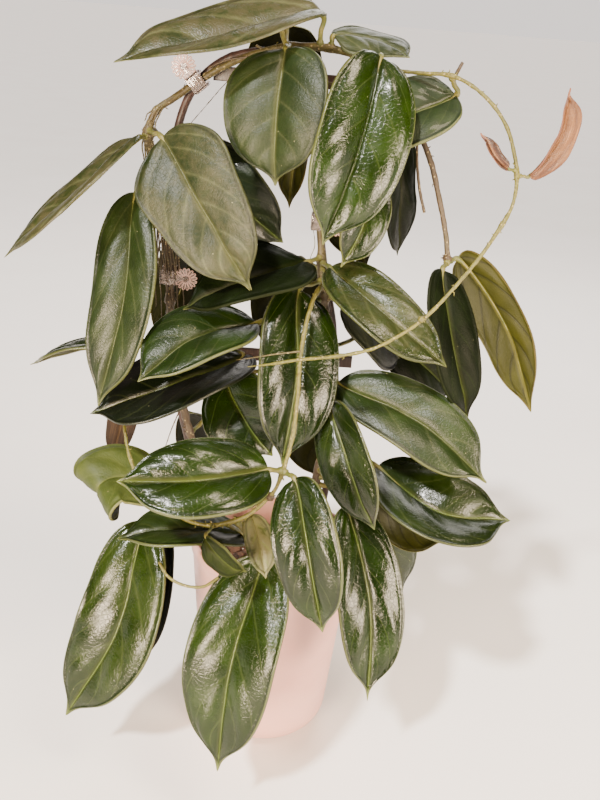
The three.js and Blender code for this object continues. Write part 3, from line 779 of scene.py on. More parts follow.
def leaf_skin(name, tones, marks, rough, coat, gloss=0.3, streaks=0.0):
    """A blade's skin over real veins, rib and rim. rough is its roughness where it is cleanest, coat and
    gloss are how waxy it is, and streaks is how strongly it is striped from foot to tip."""
    dim, dim_cloud, light, light_cloud, painted_sheen_tone, darkest_and_shade_tone = tones
    vein_tone, rib_tone, rim_tone, speck_tone = marks
    material, node, shader, place = new_finish(name)
    rib, rim, vein = blade_marks(node)
    tone, haze, dull, rib_share = (
        node("Attribute", settings={"attribute_name": kind}).outputs["Fac"] for kind in LEAF_MARKS
    )
    clouds = node("noise", Vector=place, Scale=every(26.32), Detail=4.0, Roughness=0.6)
    cells = node("cell walls", Vector=place, Scale=every(2.381))
    grain = node("noise", Vector=place, Scale=every(1.111), Detail=3.0)
    mottle = node("noise", Vector=place, Scale=every(5.882), Detail=5.0, Roughness=0.7, Distortion=0.8)
    cloudy = node("ease", clouds, 0.35, 0.7)
    skin = node("mix", tone, node("mix", cloudy, dim, dim_cloud), node("mix", cloudy, light, light_cloud))
    # The haze mark paints a greyish sheen into the colour, standing for the broad reflection of lamps and
    # ceiling, in mottled patches.
    painted_sheen_patches = node("plus", node("times", clouds, 0.6), node("times", mottle, 0.6))
    skin = node("mix", node("times", haze, node("ease", painted_sheen_patches, 0.4, 0.8)), skin, painted_sheen_tone)
    # Below 0 the tone mark paints shade: it darkens the leaf towards near-black where it sits in shadow.
    skin = node("mix", node("times", tone, -1.0), skin, darkest_and_shade_tone)
    skin = node("mix", node("times", vein, 0.12), skin, vein_tone)
    soft_vein = node("ease", from_vein(node), 0.0, 0.16, 1.0, 0.0)
    soft_vein = node("times", soft_vein, node("ease", clouds, 0.3, 0.7, 0.05, 0.4))
    # Where the sheen is painted, the soft veins show paler through it.
    skin = node("mix", node("times", soft_vein, haze), skin, vein_tone)
    if streaks:
        band = node("noise", Vector=lengthwise(node, 120.0, 1.6), Scale=1.0, Detail=3.0)
        skin = node("mix", node("ease", band, 0.5, 0.66, 0.0, streaks), skin, rib_tone)
        skin = node("mix", node("ease", band, 0.32, 0.46, streaks * 0.7, 0.0), skin, darkest_and_shade_tone)
        share = blade_place(node, "Veins")[1]
        skin = node("mix", node("ease", share, 0.72, 0.98, 0.0, 0.6), skin, darkest_and_shade_tone)
    near_rib = node("ease", blade_place(node, "Rib and rim")[0], 0.0, 0.024, 1.0, 0.0)
    soft_rib = node("times", near_rib, rib_share)
    skin = node("mix", node("times", rib, node("ease", haze, 0.3, 1.0, 0.4, 0.05)), skin, rib_tone)
    skin = node("mix", soft_rib, skin, rim_tone)
    skin = node("mix", node("times", soft_rib, -1.0), skin, dim_cloud)
    # Painted shade: the furrow inside the rim is darkened towards the dim green.
    skin = node("mix", node("times", painted_groove_shade(node), 0.5), skin, dim)
    # The pale rim line: partly the margin's own paler colour, partly painted highlight where the rolled
    # margin catches the light. Lighter leaves show more of it, hazy ones less.
    rim_shows = node("minus", node("ease", tone, -0.2, 0.8, 0.03, 0.42), node("times", haze, 0.4))
    skin = node("mix", node("times", rim, rim_shows), skin, rim_tone)
    dots = node("cells", Vector=place, Scale=every(3.03))
    rare = node("ease", node("SeparateColor", dots.outputs["Color"]), 0.93, 0.95)
    speck = node("times", node("ease", dots.outputs["Distance"], 0.06, 0.13, 1.0, 0.0), rare)
    skin = node("mix", node("times", speck, 0.4), skin, speck_tone)
    wrinkles = node("noise", Vector=lengthwise(node, 28.0, 75.0), Scale=1.0, Detail=3.0, Distortion=0.5)
    height = node("plus", node("times", node("ease", cells, 0.0, 0.14), 0.5), grain)
    height = node("plus", height, node("times", wrinkles, 1.1))
    height = node("minus", height, node("times", rib, 0.7))
    roughness = node("plus", node("ease", clouds, 0.3, 0.8, rough, rough + 0.1), node("times", dull, 0.4))
    fill(
        shader,
        Base_Color=skin,
        Roughness=roughness,
        IOR=1.5,
        Specular_IOR_Level=gloss,
        Coat_Weight=coat,
        Coat_Roughness=0.12,
        Normal=node("Bump", Strength=0.4, Distance=0.00025, Height=height),
    )
    return material


def waxy_leaf_top():
    """The upper skin of a hoya leaf: thick, waxed, deep green, with faint veins and a pale rim."""
    tones = ("#060e01", "#0c1801", "#152602", "#203603", "#383a1f", "#020401")
    marks = ("#4f5830", "#566a26", "#7f8350", "#a5a37c")
    return leaf_skin("waxy leaf, upper skin", tones, marks, 0.17, 0.1)


def matt_leaf_top_with_sheen():
    """The upper skin of a rougher, nearly matt leaf, mottled; the greyish haze on it is painted sheen, its
    colour given here and its amount by each leaf's haze mark.
    """
    tones = ("#050b01", "#0a1401", "#101f02", "#192c03", "#35341e", "#020401")
    marks = ("#54583a", "#3f4a20", "#676a40", "#a5a37c")
    return leaf_skin("matt waxy leaf with painted sheen, upper skin", tones, marks, 0.33, 0.0, gloss=0.34)


def worn_leaf_top():
    """The upper skin of a leaf gone yellowish with strong light: paler, scuffed to tan here and there."""
    tones = ("#101a03", "#1b2804", "#283504", "#38440a", "#5c5a3a", "#050801")
    marks = ("#5c6432", "#56641f", "#7f7c50", "#b8a873")
    return leaf_skin("light-worn leaf, upper skin", tones, marks, 0.3, 0.0, gloss=0.34)


def shaded_leaf_top():
    """The upper skin of a leaf deep in the plant, painted in shade: nearly black-green, with little shine.
    """
    tones = ("#060c01", "#0b1502", "#161f04", "#202c05", "#34321c", "#020301")
    marks = ("#20300c", "#3c4a1a", "#5b5e34", "#77765a")
    return leaf_skin("leaf in painted shade, upper skin", tones, marks, 0.42, 0.0, gloss=0.08)


def young_leaf_top():
    """A new leaf still bronze: pinkish copper, thin-skinned, with a silky gloss."""
    tones = ("#3a1808", "#4b250f", "#60391b", "#76502b", "#7c4d24", "#160802")
    marks = ("#5f372c", "#b08058", "#4e2a20", "#b89a84")
    return leaf_skin("young bronze leaf, upper skin", tones, marks, 0.36, 0.1, gloss=0.4, streaks=0.35)


def young_leaf_underside():
    """The lower skin of a new leaf: the same copper, duller and a shade more yellow."""
    tones = ("#3c1c0b", "#4f2a12", "#643f20", "#795830", "#80582c", "#180903")
    marks = ("#552f22", "#b68a64", "#4e2a20", "#b89a84")
    return leaf_skin("young bronze leaf, lower skin", tones, marks, 0.45, 0.0, gloss=0.35, streaks=0.4)


def young_leaf_rim():
    """The edge of a new leaf: a thin line of dull red-brown skin, too narrow to show any pattern."""
    material, _, shader, _ = new_finish("young bronze leaf rim")
    fill(shader, Base_Color="#7a4a38", Roughness=0.45)
    return material


def dead_leaf():
    """A dried leaf: brown, wrinkled and matt."""
    tones = ("#20150c", "#2e1f12", "#3a2917", "#4c3722", "#5d4832", "#0c0703")
    marks = ("#1c120a", "#4e3b25", "#1c120a", "#6a563c")
    return leaf_skin("dried leaf", tones, marks, 0.7, 0.0, gloss=0.2, streaks=0.5)


def leaf_underside(name, depth):
    """The lower skin: yellow-green and nearly matt, with the veins drawn darker. depth paints shade: it
    darkens the skin towards near-black for undersides that sit in shadow.
    """
    material, node, shader, place = new_finish(name)
    rib, rim, vein = blade_marks(node)
    tone = node("Attribute", settings={"attribute_name": "tone"}).outputs["Fac"]
    clouds = node("noise", Vector=place, Scale=every(16.67), Detail=4.0, Roughness=0.6)
    cells = node("cell walls", Vector=place, Scale=every(2))
    skin = node("mix", node("ease", clouds, 0.35, 0.7), "#1d2004", "#2a2c06")
    skin = node("mix", node("times", tone, 0.5), skin, "#363507")
    skin = node("mix", node("ease", from_vein(node), 0.0, 0.13, 0.7, 0.0), skin, "#121402")
    skin = node("mix", node("times", rib, 0.3), skin, "#5f5c20")
    skin = node("mix", node("times", rim, 0.4), skin, "#5c4f28")
    # Painted shade: depth darkens the whole lower skin towards near-black.
    skin = node("mix", depth, skin, "#060702")
    height = node("plus", node("ease", cells, 0.0, 0.1), node("times", vein, 1.5))
    bump = node("Bump", Strength=0.25, Distance=0.0002, Height=height)
    fill(shader, Base_Color=skin, Roughness=0.48, Specular_IOR_Level=0.16 * (1 - depth), Normal=bump)
    return material


def leaf_rim():
    """The blade's thin edge, cream to tan: partly the margin's own paler colour, partly painted highlight
    along the rolled edge.
    """
    material, node, shader, place = new_finish("leaf rim")
    clouds = node("noise", Vector=place, Scale=every(8.333), Detail=3.0)
    skin = node("mix", node("ease", clouds, 0.35, 0.7), "#4b5022", "#6b6840")
    fill(shader, Base_Color=skin, Roughness=0.4)
    return material


def leaf_stalk():
    """Stalk skin: green going to tan, dull, finely speckled and wrinkled."""
    material, node, shader, place = new_finish("leaf stalk")
    clouds = node("noise", Vector=place, Scale=every(7.143), Detail=4.0)
    specks = node("cells", Vector=place, Scale=every(1.111))
    wrinkles = node("noise", Vector=place, Scale=every(1.25), Detail=4.0)
    skin = node("mix", node("ease", clouds, 0.3, 0.7), "#3f4a16", "#6b6430")
    skin = node("mix", node("ease", specks, 0.1, 0.25, 0.3, 0.0), skin, "#a3956a")
    bump = node("Bump", Strength=0.35, Distance=0.0003, Height=wrinkles)
    fill(shader, Base_Color=skin, Roughness=0.5, Normal=bump)
    return material


def make_leaves():
    """Makes every leaf and returns the places where their stalks meet the stems."""
    blank = make_blade_master()
    stalk, rim = leaf_stalk(), leaf_rim()
    lower = leaf_underside("leaf, lower skin", 0.0)
    shade_painted_lower = leaf_underside("leaf in painted shade, lower skin", 0.8)
    kept_top = waxy_leaf_top()
    kinds = {
        "leaf": [kept_top, lower, rim, stalk],
        "sheened_matt": [matt_leaf_top_with_sheen(), lower, rim, stalk],
        "worn": [worn_leaf_top(), lower, rim, stalk],
        "shaded": [shaded_leaf_top(), lower, rim, stalk],
        # Leaves at the back: the usual upper skin, and a lower skin painted in shade.
        "back": [kept_top, shade_painted_lower, rim, stalk],
        "bronze_leaf": [young_leaf_top(), young_leaf_underside(), young_leaf_rim(), stalk],
        "dry_leaf": [dead_leaf(), dead_leaf(), dead_leaf(), stalk],
    }
    starts = []
    for seed, node in enumerate(n for n in NODES if n.startswith("leaf_")):
        kind = SLOTS.get(node, "leaf")
        kind = "shaded" if node in SHADED else "sheened_matt" if node in SHEENED_MATT_LEAVES else kind
        kind = "back" if "_back_" in node else "worn" if node in WORN else kind
        starts.append(make_leaf(blank, node, kinds[kind], seed + 1))
    discard(blank)
    return starts


# ---- stems ----

ROUTES = {
    "stem_left": [
        (-31, 6, 94), (-35, 8, 130), (-49, 11, 175), (-63, 11, 220), (-72, 9, 265), (-75, 6, 305),
        (-76, 5, 322), (-79, 2, 350), (-85, -3, 385), (-88, -6, 403), (-84, -4, 416), (-74, 1, 424),
        (-62, 2, 433), (-50, 2, 441), (-32, 3, 450), (-10, 2, 456), (17, 1, 456), (42, 0, 448),
    ],
    "stem_right": [
        (17, 8, 94), (20, 8, 130), (25, 6, 180), (28, 2, 230), (25, -3, 280), (19, -8, 320),
        (16, -8, 345), (14, -6, 361), (14, -4, 375), (17, -2, 400), (21, -4, 430), (19, -5, 444),
    ],
    "vine_front": [
        (17, -8, 335), (20, -18, 332), (13, -42, 322), (9, -60, 299), (9, -72, 275), (8, -82, 255),
        (4, -88, 237), (0, -88, 224), (-6, -86, 215), (-14, -85, 206), (-26, -84, 199), (-39, -83, 196),
        (-52, -80, 198), (-67, -75, 205), (-78, -69, 213), (-85, -63, 222), (-90, -55, 234),
        (-93, -45, 243), (-93, -34, 250),
    ],
    "vine_runner": [
        (41, 0, 448.5), (52, -5, 448), (62, -10, 448), (80, -20, 448), (96, -30, 440), (108, -38, 427),
        (114, -44, 412), (116, -48, 403), (115, -54, 388), (107, -62, 373), (94, -72, 355),
        (73, -83, 331), (60, -87, 321), (45, -88, 312), (25, -84, 305), (9, -78, 300), (-8, -73, 294),
        (-20, -66, 289),
    ],
    "vine_hanging": [
        (38, 1, 449), (40, 12, 445), (47, 13, 440), (57, 9, 430), (66, 4, 416), (75, 2, 400),
        (83, 0, 378), (89, -2, 358), (92, -4, 343),
    ],
    "hoop": [
        (-41, 14, 94), (-43, 14, 130), (-56, 16, 180), (-70, 16, 235), (-75, 14, 267), (-76, 13, 290),
        (-76, 13, 318), (-79, 11, 350), (-76, 10, 390), (-70, 10, 418), (-62, 10, 433), (-47, 10, 446),
        (-24, 10, 452), (-2, 10, 446), (10, 10, 430), (14, 6, 395), (14, 2, 361), (19, 5, 330),
        (27, 11, 295), (31, 14, 267), (34, 15, 230), (33, 15, 180), (27, 15, 130), (25, 15, 94),
    ],
}
# Radius at the start, the share of it left at the end, and how woody the bark is at start and end.
STEMS = {
    "stem_left": (2.5, 0.75, 1.0, 0.5),
    "stem_right": (2.5, 0.75, 1.0, 0.5),
    "vine_front": (1.25, 0.85, 0.35, 0.1),
    "vine_runner": (1.05, 0.85, 0.35, 0.1),
    "vine_hanging": (1.8, 0.85, 0.9, 0.75),
}
# Stems that end in a thin growing tip.
GROWING = {"vine_runner"}
# Threads of root: stem, the shares of its length where they leave it and end, how many, and their spread.
AERIAL_ROOTS = [
    ("stem_left", 0.76, 0.69, 5, 4, 2),
    ("stem_left", 0.62, 0.55, 5, 4, 3),
    ("stem_left", 0.53, 0.43, 7, 6, 3),
    ("stem_left", 0.44, 0.34, 10, 8, 5),
    ("stem_left", 0.40, 0.27, 6, 10, 4),
    ("stem_right", 0.77, 0.69, 5, 5, 3),
]


def along(places, shares):
    """Points on a smooth curve through places, at shares of the run of places from 0 to 1."""
    p = np.array(places, float)
    p = np.vstack([2 * p[0] - p[1], p, 2 * p[-1] - p[-2]])
    where = np.asarray(shares) * (len(places) - 1)
    i = np.minimum(where.astype(int), len(places) - 2)
    t = (where - i)[:, None]
    p0, p1, p2, p3 = p[i], p[i + 1], p[i + 2], p[i + 3]
    d0, d1, d2 = (np.linalg.norm(b - a, axis=1)[:, None] ** 0.5 for a, b in ((p0, p1), (p1, p2), (p2, p3)))
    m1 = ((p1 - p0) / d0 - (p2 - p0) / (d0 + d1) + (p2 - p1) / d1) * d1
    m2 = ((p2 - p1) / d1 - (p3 - p1) / (d1 + d2) + (p3 - p2) / d2) * d1
    return p1 + m1 * t + (3 * (p2 - p1) - 2 * m1 - m2) * t**2 + (2 * (p1 - p2) + m1 + m2) * t**3


def even_path(places, step):
    """The same curve in equal steps of about the given length."""
    fine = along(places, np.linspace(0, 1, 2000))
    length = np.concatenate([[0], np.cumsum(np.linalg.norm(np.diff(fine, axis=0), axis=1))])
    wanted = np.linspace(0, length[-1], int(length[-1] / step) + 2)
    return np.column_stack([np.interp(wanted, length, fine[:, k]) for k in range(3)])


def roughened(piece, depth, size, seed):
    """Pushes a surface in and out along its normals by slow random lumps, in mm."""
    points = points_of(piece.data)
    normals = np.empty(points.size, np.float32)
    piece.data.vertices.foreach_get("normal", normals)
    push = lumps(points, size, seed)
    set_points(piece.data, points + normals.reshape(-1, 3) * push[:, None] * depth * MM)


def make_stem(name, starts, finish):
    """One stem: thicker at each node where a leaf sits, with root stubs, scars and root threads."""
    random.seed(name)
    radius, left_over, old, young = STEMS[name]
    path = even_path(ROUTES[name], 1.3)
    share = np.linspace(0, 1, len(path))
    radii = radius * (1 - (1 - left_over) * share)
    if name in GROWING:
        radii *= 1 - 0.8 * ramp(share, 0.93, 1)
    reach = np.array([np.linalg.norm(path - np.array(start) / MM, axis=1) for start in starts])
    nodes = [int(run.argmin()) for run in reach if run.min() < radius + 3.5]
    nodes += [random.randrange(20, len(path) - 5) for _ in range(len(path) // 60)]
    for node in nodes:
        far = np.arange(len(path)) - node
        radii *= 1 + 0.3 * hump(far, 0, 2.2) + 0.1 * hump(far, 3, 1.2)
    body = tube(name + "_body", path, radii, finish, 16)
    roughened(body, 0.3, 4, radius)
    parts = [body] + root_stubs(name, path, radii, nodes, finish)
    for stem, leave, end, count, spread, forward in AERIAL_ROOTS:
        if stem == name:
            parts += root_threads(path_share=(leave, end), count=count, spread=spread, forward=forward,
                                  route=ROUTES[name], finish=finish)
    whole = joined(parts, "fine_" + name)
    points = points_of(whole.data) / MM
    nearest = np.array([((path - p) ** 2).sum(1).argmin() for p in points]) / (len(path) - 1)
    mark(whole, "age", old + (young - old) * nearest)
    finished(whole, "stem", name)


def root_stubs(name, path, radii, nodes, finish):
    """Short pointed stubs of aerial root, most of them close under a node."""
    stubs = []
    spots = [n + random.randint(-5, 5) for n in nodes for _ in range(3)]
    spots += [random.randrange(5, len(path) - 5) for _ in range(len(path) // 14)]
    for spot in spots:
        spot = min(max(spot, 3), len(path) - 4)
        ahead = unit(path[spot + 1] - path[spot - 1])
        away = unit(np.cross(ahead, [random.uniform(-1, 1) for _ in range(3)]))
        long = random.uniform(0.5, 1.9)
        foot = path[spot] + away * (radii[spot] - 0.4)
        lean = ahead * random.uniform(-0.3, 0.7)
        line = [foot, foot + away * (0.5 * long + 0.4), foot + (away + lean) * (long + 0.4)]
        stubs.append(tube(name + "_stub", line, [0.42, 0.34, 0.12], finish, 6))
    return stubs


def root_threads(route, path_share, count, spread, forward, finish):
    """Aerial roots: thin threads that leave the stem at one height and run down beside it."""
    threads = []
    leave, end = path_share
    for i in range(count):
        turn = -1 + 2 * i / (count - 1)
        side = np.array([turn * spread, -forward * (1 - 0.5 * turn * turn), 0])
        reach = end + 0.012 * math.cos(i * 2.4)
        shares = np.linspace(leave, reach, 26)
        fade = np.linspace(0, 1, 26)[:, None]
        line = along(route, shares) + side * np.sqrt(np.sin(fade * np.pi / 2)) * (1 - 0.12 * fade)
        wander = [
            [noise.noise(Vector((i * 7.1 + k * 3.3, f * 3.0, 0))) for k in range(3)]
            for f in fade[:, 0]
        ]
        line = line + np.array(wander) * (1.5 * fade)
        threads.append(tube("root_thread", line, np.linspace(0.62, 0.3, 26), finish, 6))
    return threads


def stem_bark():
    """Hoya stem: yellow-green skin when young, grey-brown cork when old, dotted with pale lenticels."""
    material, node, shader, place = new_finish("hoya stem bark")
    age = node("Attribute", settings={"attribute_name": "age"}).outputs["Fac"]
    clouds = node("noise", Vector=place, Scale=every(9.091), Detail=5.0, Roughness=0.65)
    fine = node("noise", Vector=place, Scale=every(1.4286), Detail=4.0)
    dots = node("cells", Vector=place, Scale=every(1.9231))
    rare = node("ease", node("SeparateColor", dots.outputs["Color"]), 0.62, 0.66)
    dot = node("times", node("ease", dots.outputs["Distance"], 0.22, 0.34, 1.0, 0.0), rare)
    woody = node("ease", node("plus", age, node("times", clouds, 0.5)), 0.45, 1.1)
    green = node("mix", clouds, "#4a4f12", "#746c2a")
    skin = node("mix", woody, green, node("mix", clouds, "#241a0e", "#54432a"))
    skin = node("mix", node("ease", fine, 0.35, 0.6, 0.45, 0.0), skin, "#22170c")
    skin = node("mix", node("times", dot, 0.6), skin, "#a8966a")
    height = node("plus", fine, node("times", dot, 0.8))
    bump = node("Bump", Strength=0.5, Distance=0.0004, Height=height)
    fill(shader, Base_Color=skin, Roughness=0.55, Normal=bump)
    return material


def make_stems(starts):
    finish = stem_bark()
    for name in STEMS:
        make_stem(name, starts, finish)
    make_twigs(finish)
    make_knobs(finish)


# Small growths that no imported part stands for: places in mm, radius at both ends, and how woody each is.
TWIGS = {
    "twig_stub": ([(81, -14, 448), (83, -10, 451), (85, -8, 455)], 1.0, 0.9, 0.9),
    "hanging_stub": ([(66, 4, 412), (68, 3, 396), (71, 1, 382), (75, 0, 370)], 0.8, 0.9, 1.0),
    "white_thread": ([(10, -10, 359), (12, -12, 348), (10, -13, 340), (11, -12, 331)], 0.25, 0.2, 0.3),
    "grey_twig": ([(-64, 4, 236), (-67, 0, 229), (-71, -2, 218), (-75, -3, 204)], 0.5, 0.3, 1.0),
    "top_thread": ([(-40, 4, 440), (-48, 2, 431), (-56, 0, 421), (-64, -3, 411)], 0.25, 0.2, 1.0),
    "side_stem": ([(-27, -62, 291), (-16, -66, 295), (-4, -69, 299), (9, -70, 302)], 0.15, 0.6, 0.6),
    "low_vine": (
        [(-66, -74, 163), (-60, -80, 158), (-50, -84, 155), (-38, -84, 155), (-30, -78, 158)],
        0.9, 0.9, 0.0,
    ),
    "crown_stalk": ([(-16, -10, 468), (-15, -8, 463), (-13, -4, 458), (-9, 0, 452)], 1.2, 1.6, 0.3),
    "crown_twig_left": ([(-56, 3, 441), (-46, 0, 446), (-33, -3, 449), (-20, -5, 451)], 0.5, 0.5, 0.8),
    "crown_twig_right": (
        [(-30, 8, 455), (-12, 6, 447), (4, 4, 440), (22, 2, 436), (30, 0, 430)],
        0.8, 0.6, 0.6,
    ),
}
# Knobs: the place, the radius, how many scales stand on it and how woody it is.
KNOBS = {
    "runner_knob": ((71, -84.5, 330), 1.9, 7, 0.4),
    "front_node": ((-2, -87, 220), 2.5, 16, 0.9),
    "hanging_node": ((91, -4, 345), 2.6, 10, 0.9),
    "shoulder_node": ((-85, -3, 404), 2.4, 6, 0.8),
}


def make_twigs(finish):
    for name, (places, thick, thin, age) in TWIGS.items():
        path = even_path(places, 0.8)
        twig = tube(name, path, np.linspace(thick, thin, len(path)), finish, 10)
        roughened(twig, 0.15, 2, thick)
        mark(twig, "age", age)
        finished(twig, "stem")


def make_knobs(finish):
    """Old nodes where leaf after leaf has dropped: a corky lump set with short pointed scales."""
    for seed, (name, (place, radius, count, age)) in enumerate(KNOBS.items()):
        random.seed(seed)
        bpy.ops.mesh.primitive_ico_sphere_add(subdivisions=3, radius=radius * MM)
        bpy.context.object.location = Vector(place) * MM
        lump = settle(bpy.context.object)
        lump.data.materials.append(finish)
        roughened(lump, 0.7, 1.6, seed)
        smooth(lump)
        parts = [lump]
        for _ in range(count):
            away = unit(np.array([random.gauss(0, 1) for _ in range(3)]))
            foot = np.array(place) + away * radius * 0.7
            tip = foot + away * random.uniform(0.8, 2.0)
            parts.append(tube("scale", [foot, (foot + tip) / 2, tip], [0.7, 0.5, 0.12], finish, 6))
        whole = joined(parts, name)
        mark(whole, "age", age)
        finished(whole, "stem")


# ---- hoop, slats and clips ----

HOOP_RADIUS = 2.4
SLAT_TALL = 8
SLAT_THICK = 2.5
# Each slat's height, and where it ends at the left and at the right.
SLATS = {"slat_top": (438, -54, 22), "slat_middle": (267, -84, 42)}
CLIP_WIDE = 10
CLIP_DEEP = 15.5
CLIP_TALL = 9
CLIP_WALL = 1.3
FAN_RADIUS = 7
FAN_LOOPS = 16
# Each loop: how far its middle is from the hub's, how long and wide it is to each side, and its wire.
LOOP_MIDDLE = 4.5
LOOP_LONG = 2.35
LOOP_WIDE = 0.95
LOOP_RADIUS = 0.3
LOOP_POINTS = 40
# Half the hub's width, outside and inside.
HUB = 1.5
HUB_HOLE = 0.9
# Each clip's place, its lean in degrees, and on which side of the claw its fan stands.
CLIPS = {
    "clip_left": ((-76, 9, 318), 2, 1),
    "clip_top": ((-62, 6, 433), 48, -1),
    "clip_right": ((14, -3.2, 361), 0, 1),
}


def dark_cane():
    """Stained cane: dark brown, close-grained along its length, with a dull wax polish."""
    material, node, shader, place = new_finish("stained cane")
    lengthened = node("Mapping", Vector=place, Scale=(1.0, 1.0, 0.12))
    grain = node("noise", Vector=lengthened, Scale=every(1.111), Detail=4.0)
    clouds = node("noise", Vector=place, Scale=every(16.667), Detail=3.0)
    skin = node("mix", node("ease", grain, 0.35, 0.65), "#1d100d", "#3a251d")
    skin = node("mix", node("ease", clouds, 0.45, 0.75, 0.0, 0.5), skin, "#4a2f26")
    bump = node("Bump", Strength=0.4, Distance=0.0003, Height=grain)
    fill(shader, Base_Color=skin, Roughness=node("ease", clouds, 0.3, 0.7, 0.38, 0.55), Normal=bump)
    return material


def make_hoop(finish):
    path = even_path(ROUTES["hoop"], 1.6)
    step = np.arange(len(path))
    # The cane's joints: thicker rings at uneven distances of about 80 mm.
    joints = [j + 9 * math.sin(j) for j in range(30, len(path), 52)]
    radii = HOOP_RADIUS + sum(0.28 * hump(step, j, 1.1) for j in joints)
    hoop = tube("fine_hoop", path, radii, finish, 16)
    roughened(hoop, 0.12, 7, 3)
    finished(hoop, "cane", "hoop")


def make_slats(finish):
    """Flat strips across the back of the hoop, their edges rounded by hand."""
    hoop = even_path(ROUTES["hoop"], 1.0)
    for name, (height, left, right) in SLATS.items():
        back = hoop[np.linalg.norm(hoop - np.array([left, 10, height]), axis=1).argmin()][1] + HOOP_RADIUS
        place = ((left + right) / 2 * MM, (back + 0.4 + SLAT_THICK / 2) * MM, height * MM)
        bpy.ops.mesh.primitive_cube_add(size=1, location=place)
        slat = bpy.context.object
        slat.name = "fine_" + name
        slat.scale = ((right - left) * MM, SLAT_THICK * MM, SLAT_TALL * MM)
        settle(slat)
        bpy.ops.object.mode_set(mode="EDIT")
        bpy.ops.mesh.select_all(action="SELECT")
        bpy.ops.mesh.subdivide(number_cuts=5)
        bpy.ops.object.mode_set(mode="OBJECT")
        rounded(slat, 0.6, "ANGLE")
        slat.data.materials.append(finish)
        smooth_flats(slat)
        finished(slat, "cane", name)


def clear_plastic(name, clear, tint):
    """Clear injection-moulded plastic: bright edges, faint milkiness and a hint of pink, with painted edge
    shade: the colour turns dark brown where the surface turns edge-on to the view.
    """
    material, node, shader, place = new_finish(name)
    painted_edge_shade_weight = node("LayerWeight", Blend=0.35).outputs["Facing"]
    scratches = node("noise", Vector=place, Scale=every(2), Detail=3.0)
    fill(
        shader,
        # Painted edge shade: the colour goes dark brown where the surface is seen edge-on.
        Base_Color=node("mix", node("ease", painted_edge_shade_weight, 0.2, 0.8), tint, "#5c3b32"),
        Roughness=0.08,
        IOR=1.49,
        Transmission_Weight=clear,
        Normal=node("Bump", Strength=0.12, Distance=0.0002, Height=scratches),
    )
    return material


def box(name, low, high, bevel):
    """A box between two corners in mm, its edges rounded off by the given radius."""
    centre = [(a + b) / 2 * MM for a, b in zip(low, high)]
    bpy.ops.mesh.primitive_cube_add(size=1, location=centre)
    piece = bpy.context.object
    piece.name = name
    piece.scale = [(b - a) * MM for a, b in zip(low, high)]
    settle(piece)
    rounded(piece, bevel, "NONE")
    return piece


def make_claw():
    """The claw grips stem and hoop: two cheeks, a ribbed front wall, and lips that nearly close it."""
    w, d, t = CLIP_WIDE / 2, CLIP_DEEP / 2, CLIP_TALL / 2
    parts = [box("front", (-w, -d, -t), (w, -d + CLIP_WALL, t), 0.35)]
    for side in (-1, 1):
        outer = side * w
        low, high = sorted((outer, side * (w - CLIP_WALL)))
        parts.append(box("cheek", (low, -d, -t), (high, d, t), 0.4))
        low, high = sorted((outer, side * (w - CLIP_WALL - 1)))
        parts.append(box("lip", (low, d - CLIP_WALL, -t), (high, d, t), 0.4))
        low, high = sorted((outer, outer + side * 0.35))
        for i in range(5):
            y = -d + 2.2 + i * 2.6
            parts.append(box("rib", (low, y, -t + 0.6), (high, y + 0.9, t - 0.6), 0.15))
    for i in range(4):
        z = -t + 1 + i * 2.1
        parts.append(box("bar", (-w + 0.7, -d - 0.3, z), (w - 0.7, -d + 0.2, z + 0.8), 0.15))
    return joined(parts, "claw")


def make_fan(side, wall, edge):
    """The handle: a ring of long moulded loops round a small square hub, joined by a thin web."""
    cx, cy = side * (CLIP_WIDE / 2 + FAN_RADIUS - 1), -CLIP_DEEP / 2 + 0.9
    bpy.ops.mesh.primitive_cylinder_add(vertices=48, radius=(FAN_RADIUS - 0.6) * MM, depth=0.3 * MM,
                                        location=(cx * MM, cy * MM, 0), rotation=(math.pi / 2, 0, 0))
    web = [settle(bpy.context.object)]
    loops = []
    turns = np.linspace(0, 2 * np.pi, LOOP_POINTS, endpoint=False)
    for i in range(FAN_LOOPS):
        angle = 2 * math.pi * (i + 0.5) / FAN_LOOPS
        if math.cos(angle) * side < -0.9:
            continue
        reach = LOOP_MIDDLE + LOOP_LONG * np.cos(turns)
        width = LOOP_WIDE * np.sin(turns) * (0.72 + 0.28 * np.cos(turns))
        x = cx + reach * math.cos(angle) - width * math.sin(angle)
        z = reach * math.sin(angle) + width * math.cos(angle)
        line = np.column_stack([x, np.full(LOOP_POINTS, cy), z])
        line = np.vstack([line, line[:1]])
        loops.append(tube("loop", line, np.full(len(line), LOOP_RADIUS), edge, 8))
    for left, low, right, high in (
        (-HUB, -HUB, HUB, -HUB_HOLE),
        (-HUB, HUB_HOLE, HUB, HUB),
        (-HUB, -HUB, -HUB_HOLE, HUB),
        (HUB_HOLE, -HUB, HUB, HUB),
    ):
        web.append(box("hub", (cx + left, cy - 0.9, low), (cx + right, cy + 0.6, high), 0.2))
    neck = sorted((side * (CLIP_WIDE / 2 - 0.5), cx - side * 1.2))
    web.append(box("neck", (neck[0], cy - 0.7, -HUB), (neck[1], cy + 0.7, HUB), 0.3))
    fan = joined(web, "fan")
    fan.data.materials.append(wall)
    return joined([fan] + loops, "fan")


def make_clips():
    wall = clear_plastic("clear moulded plastic", 0.86, "#f3e4de")
    edge = clear_plastic("clear moulded plastic, thick edge", 0.3, "#d9b4aa")
    for name, (place, lean, side) in CLIPS.items():
        claw = make_claw()
        claw.data.materials.append(wall)
        clip = joined([claw, make_fan(side, wall, edge)], "fine_" + name)
        clip.rotation_euler = (0, math.radians(lean), 0)
        clip.location = Vector(place) * MM
        settle(clip)
        smooth_flats(clip)
        finished(clip, "clip", name)


# ---- pot and bark ----

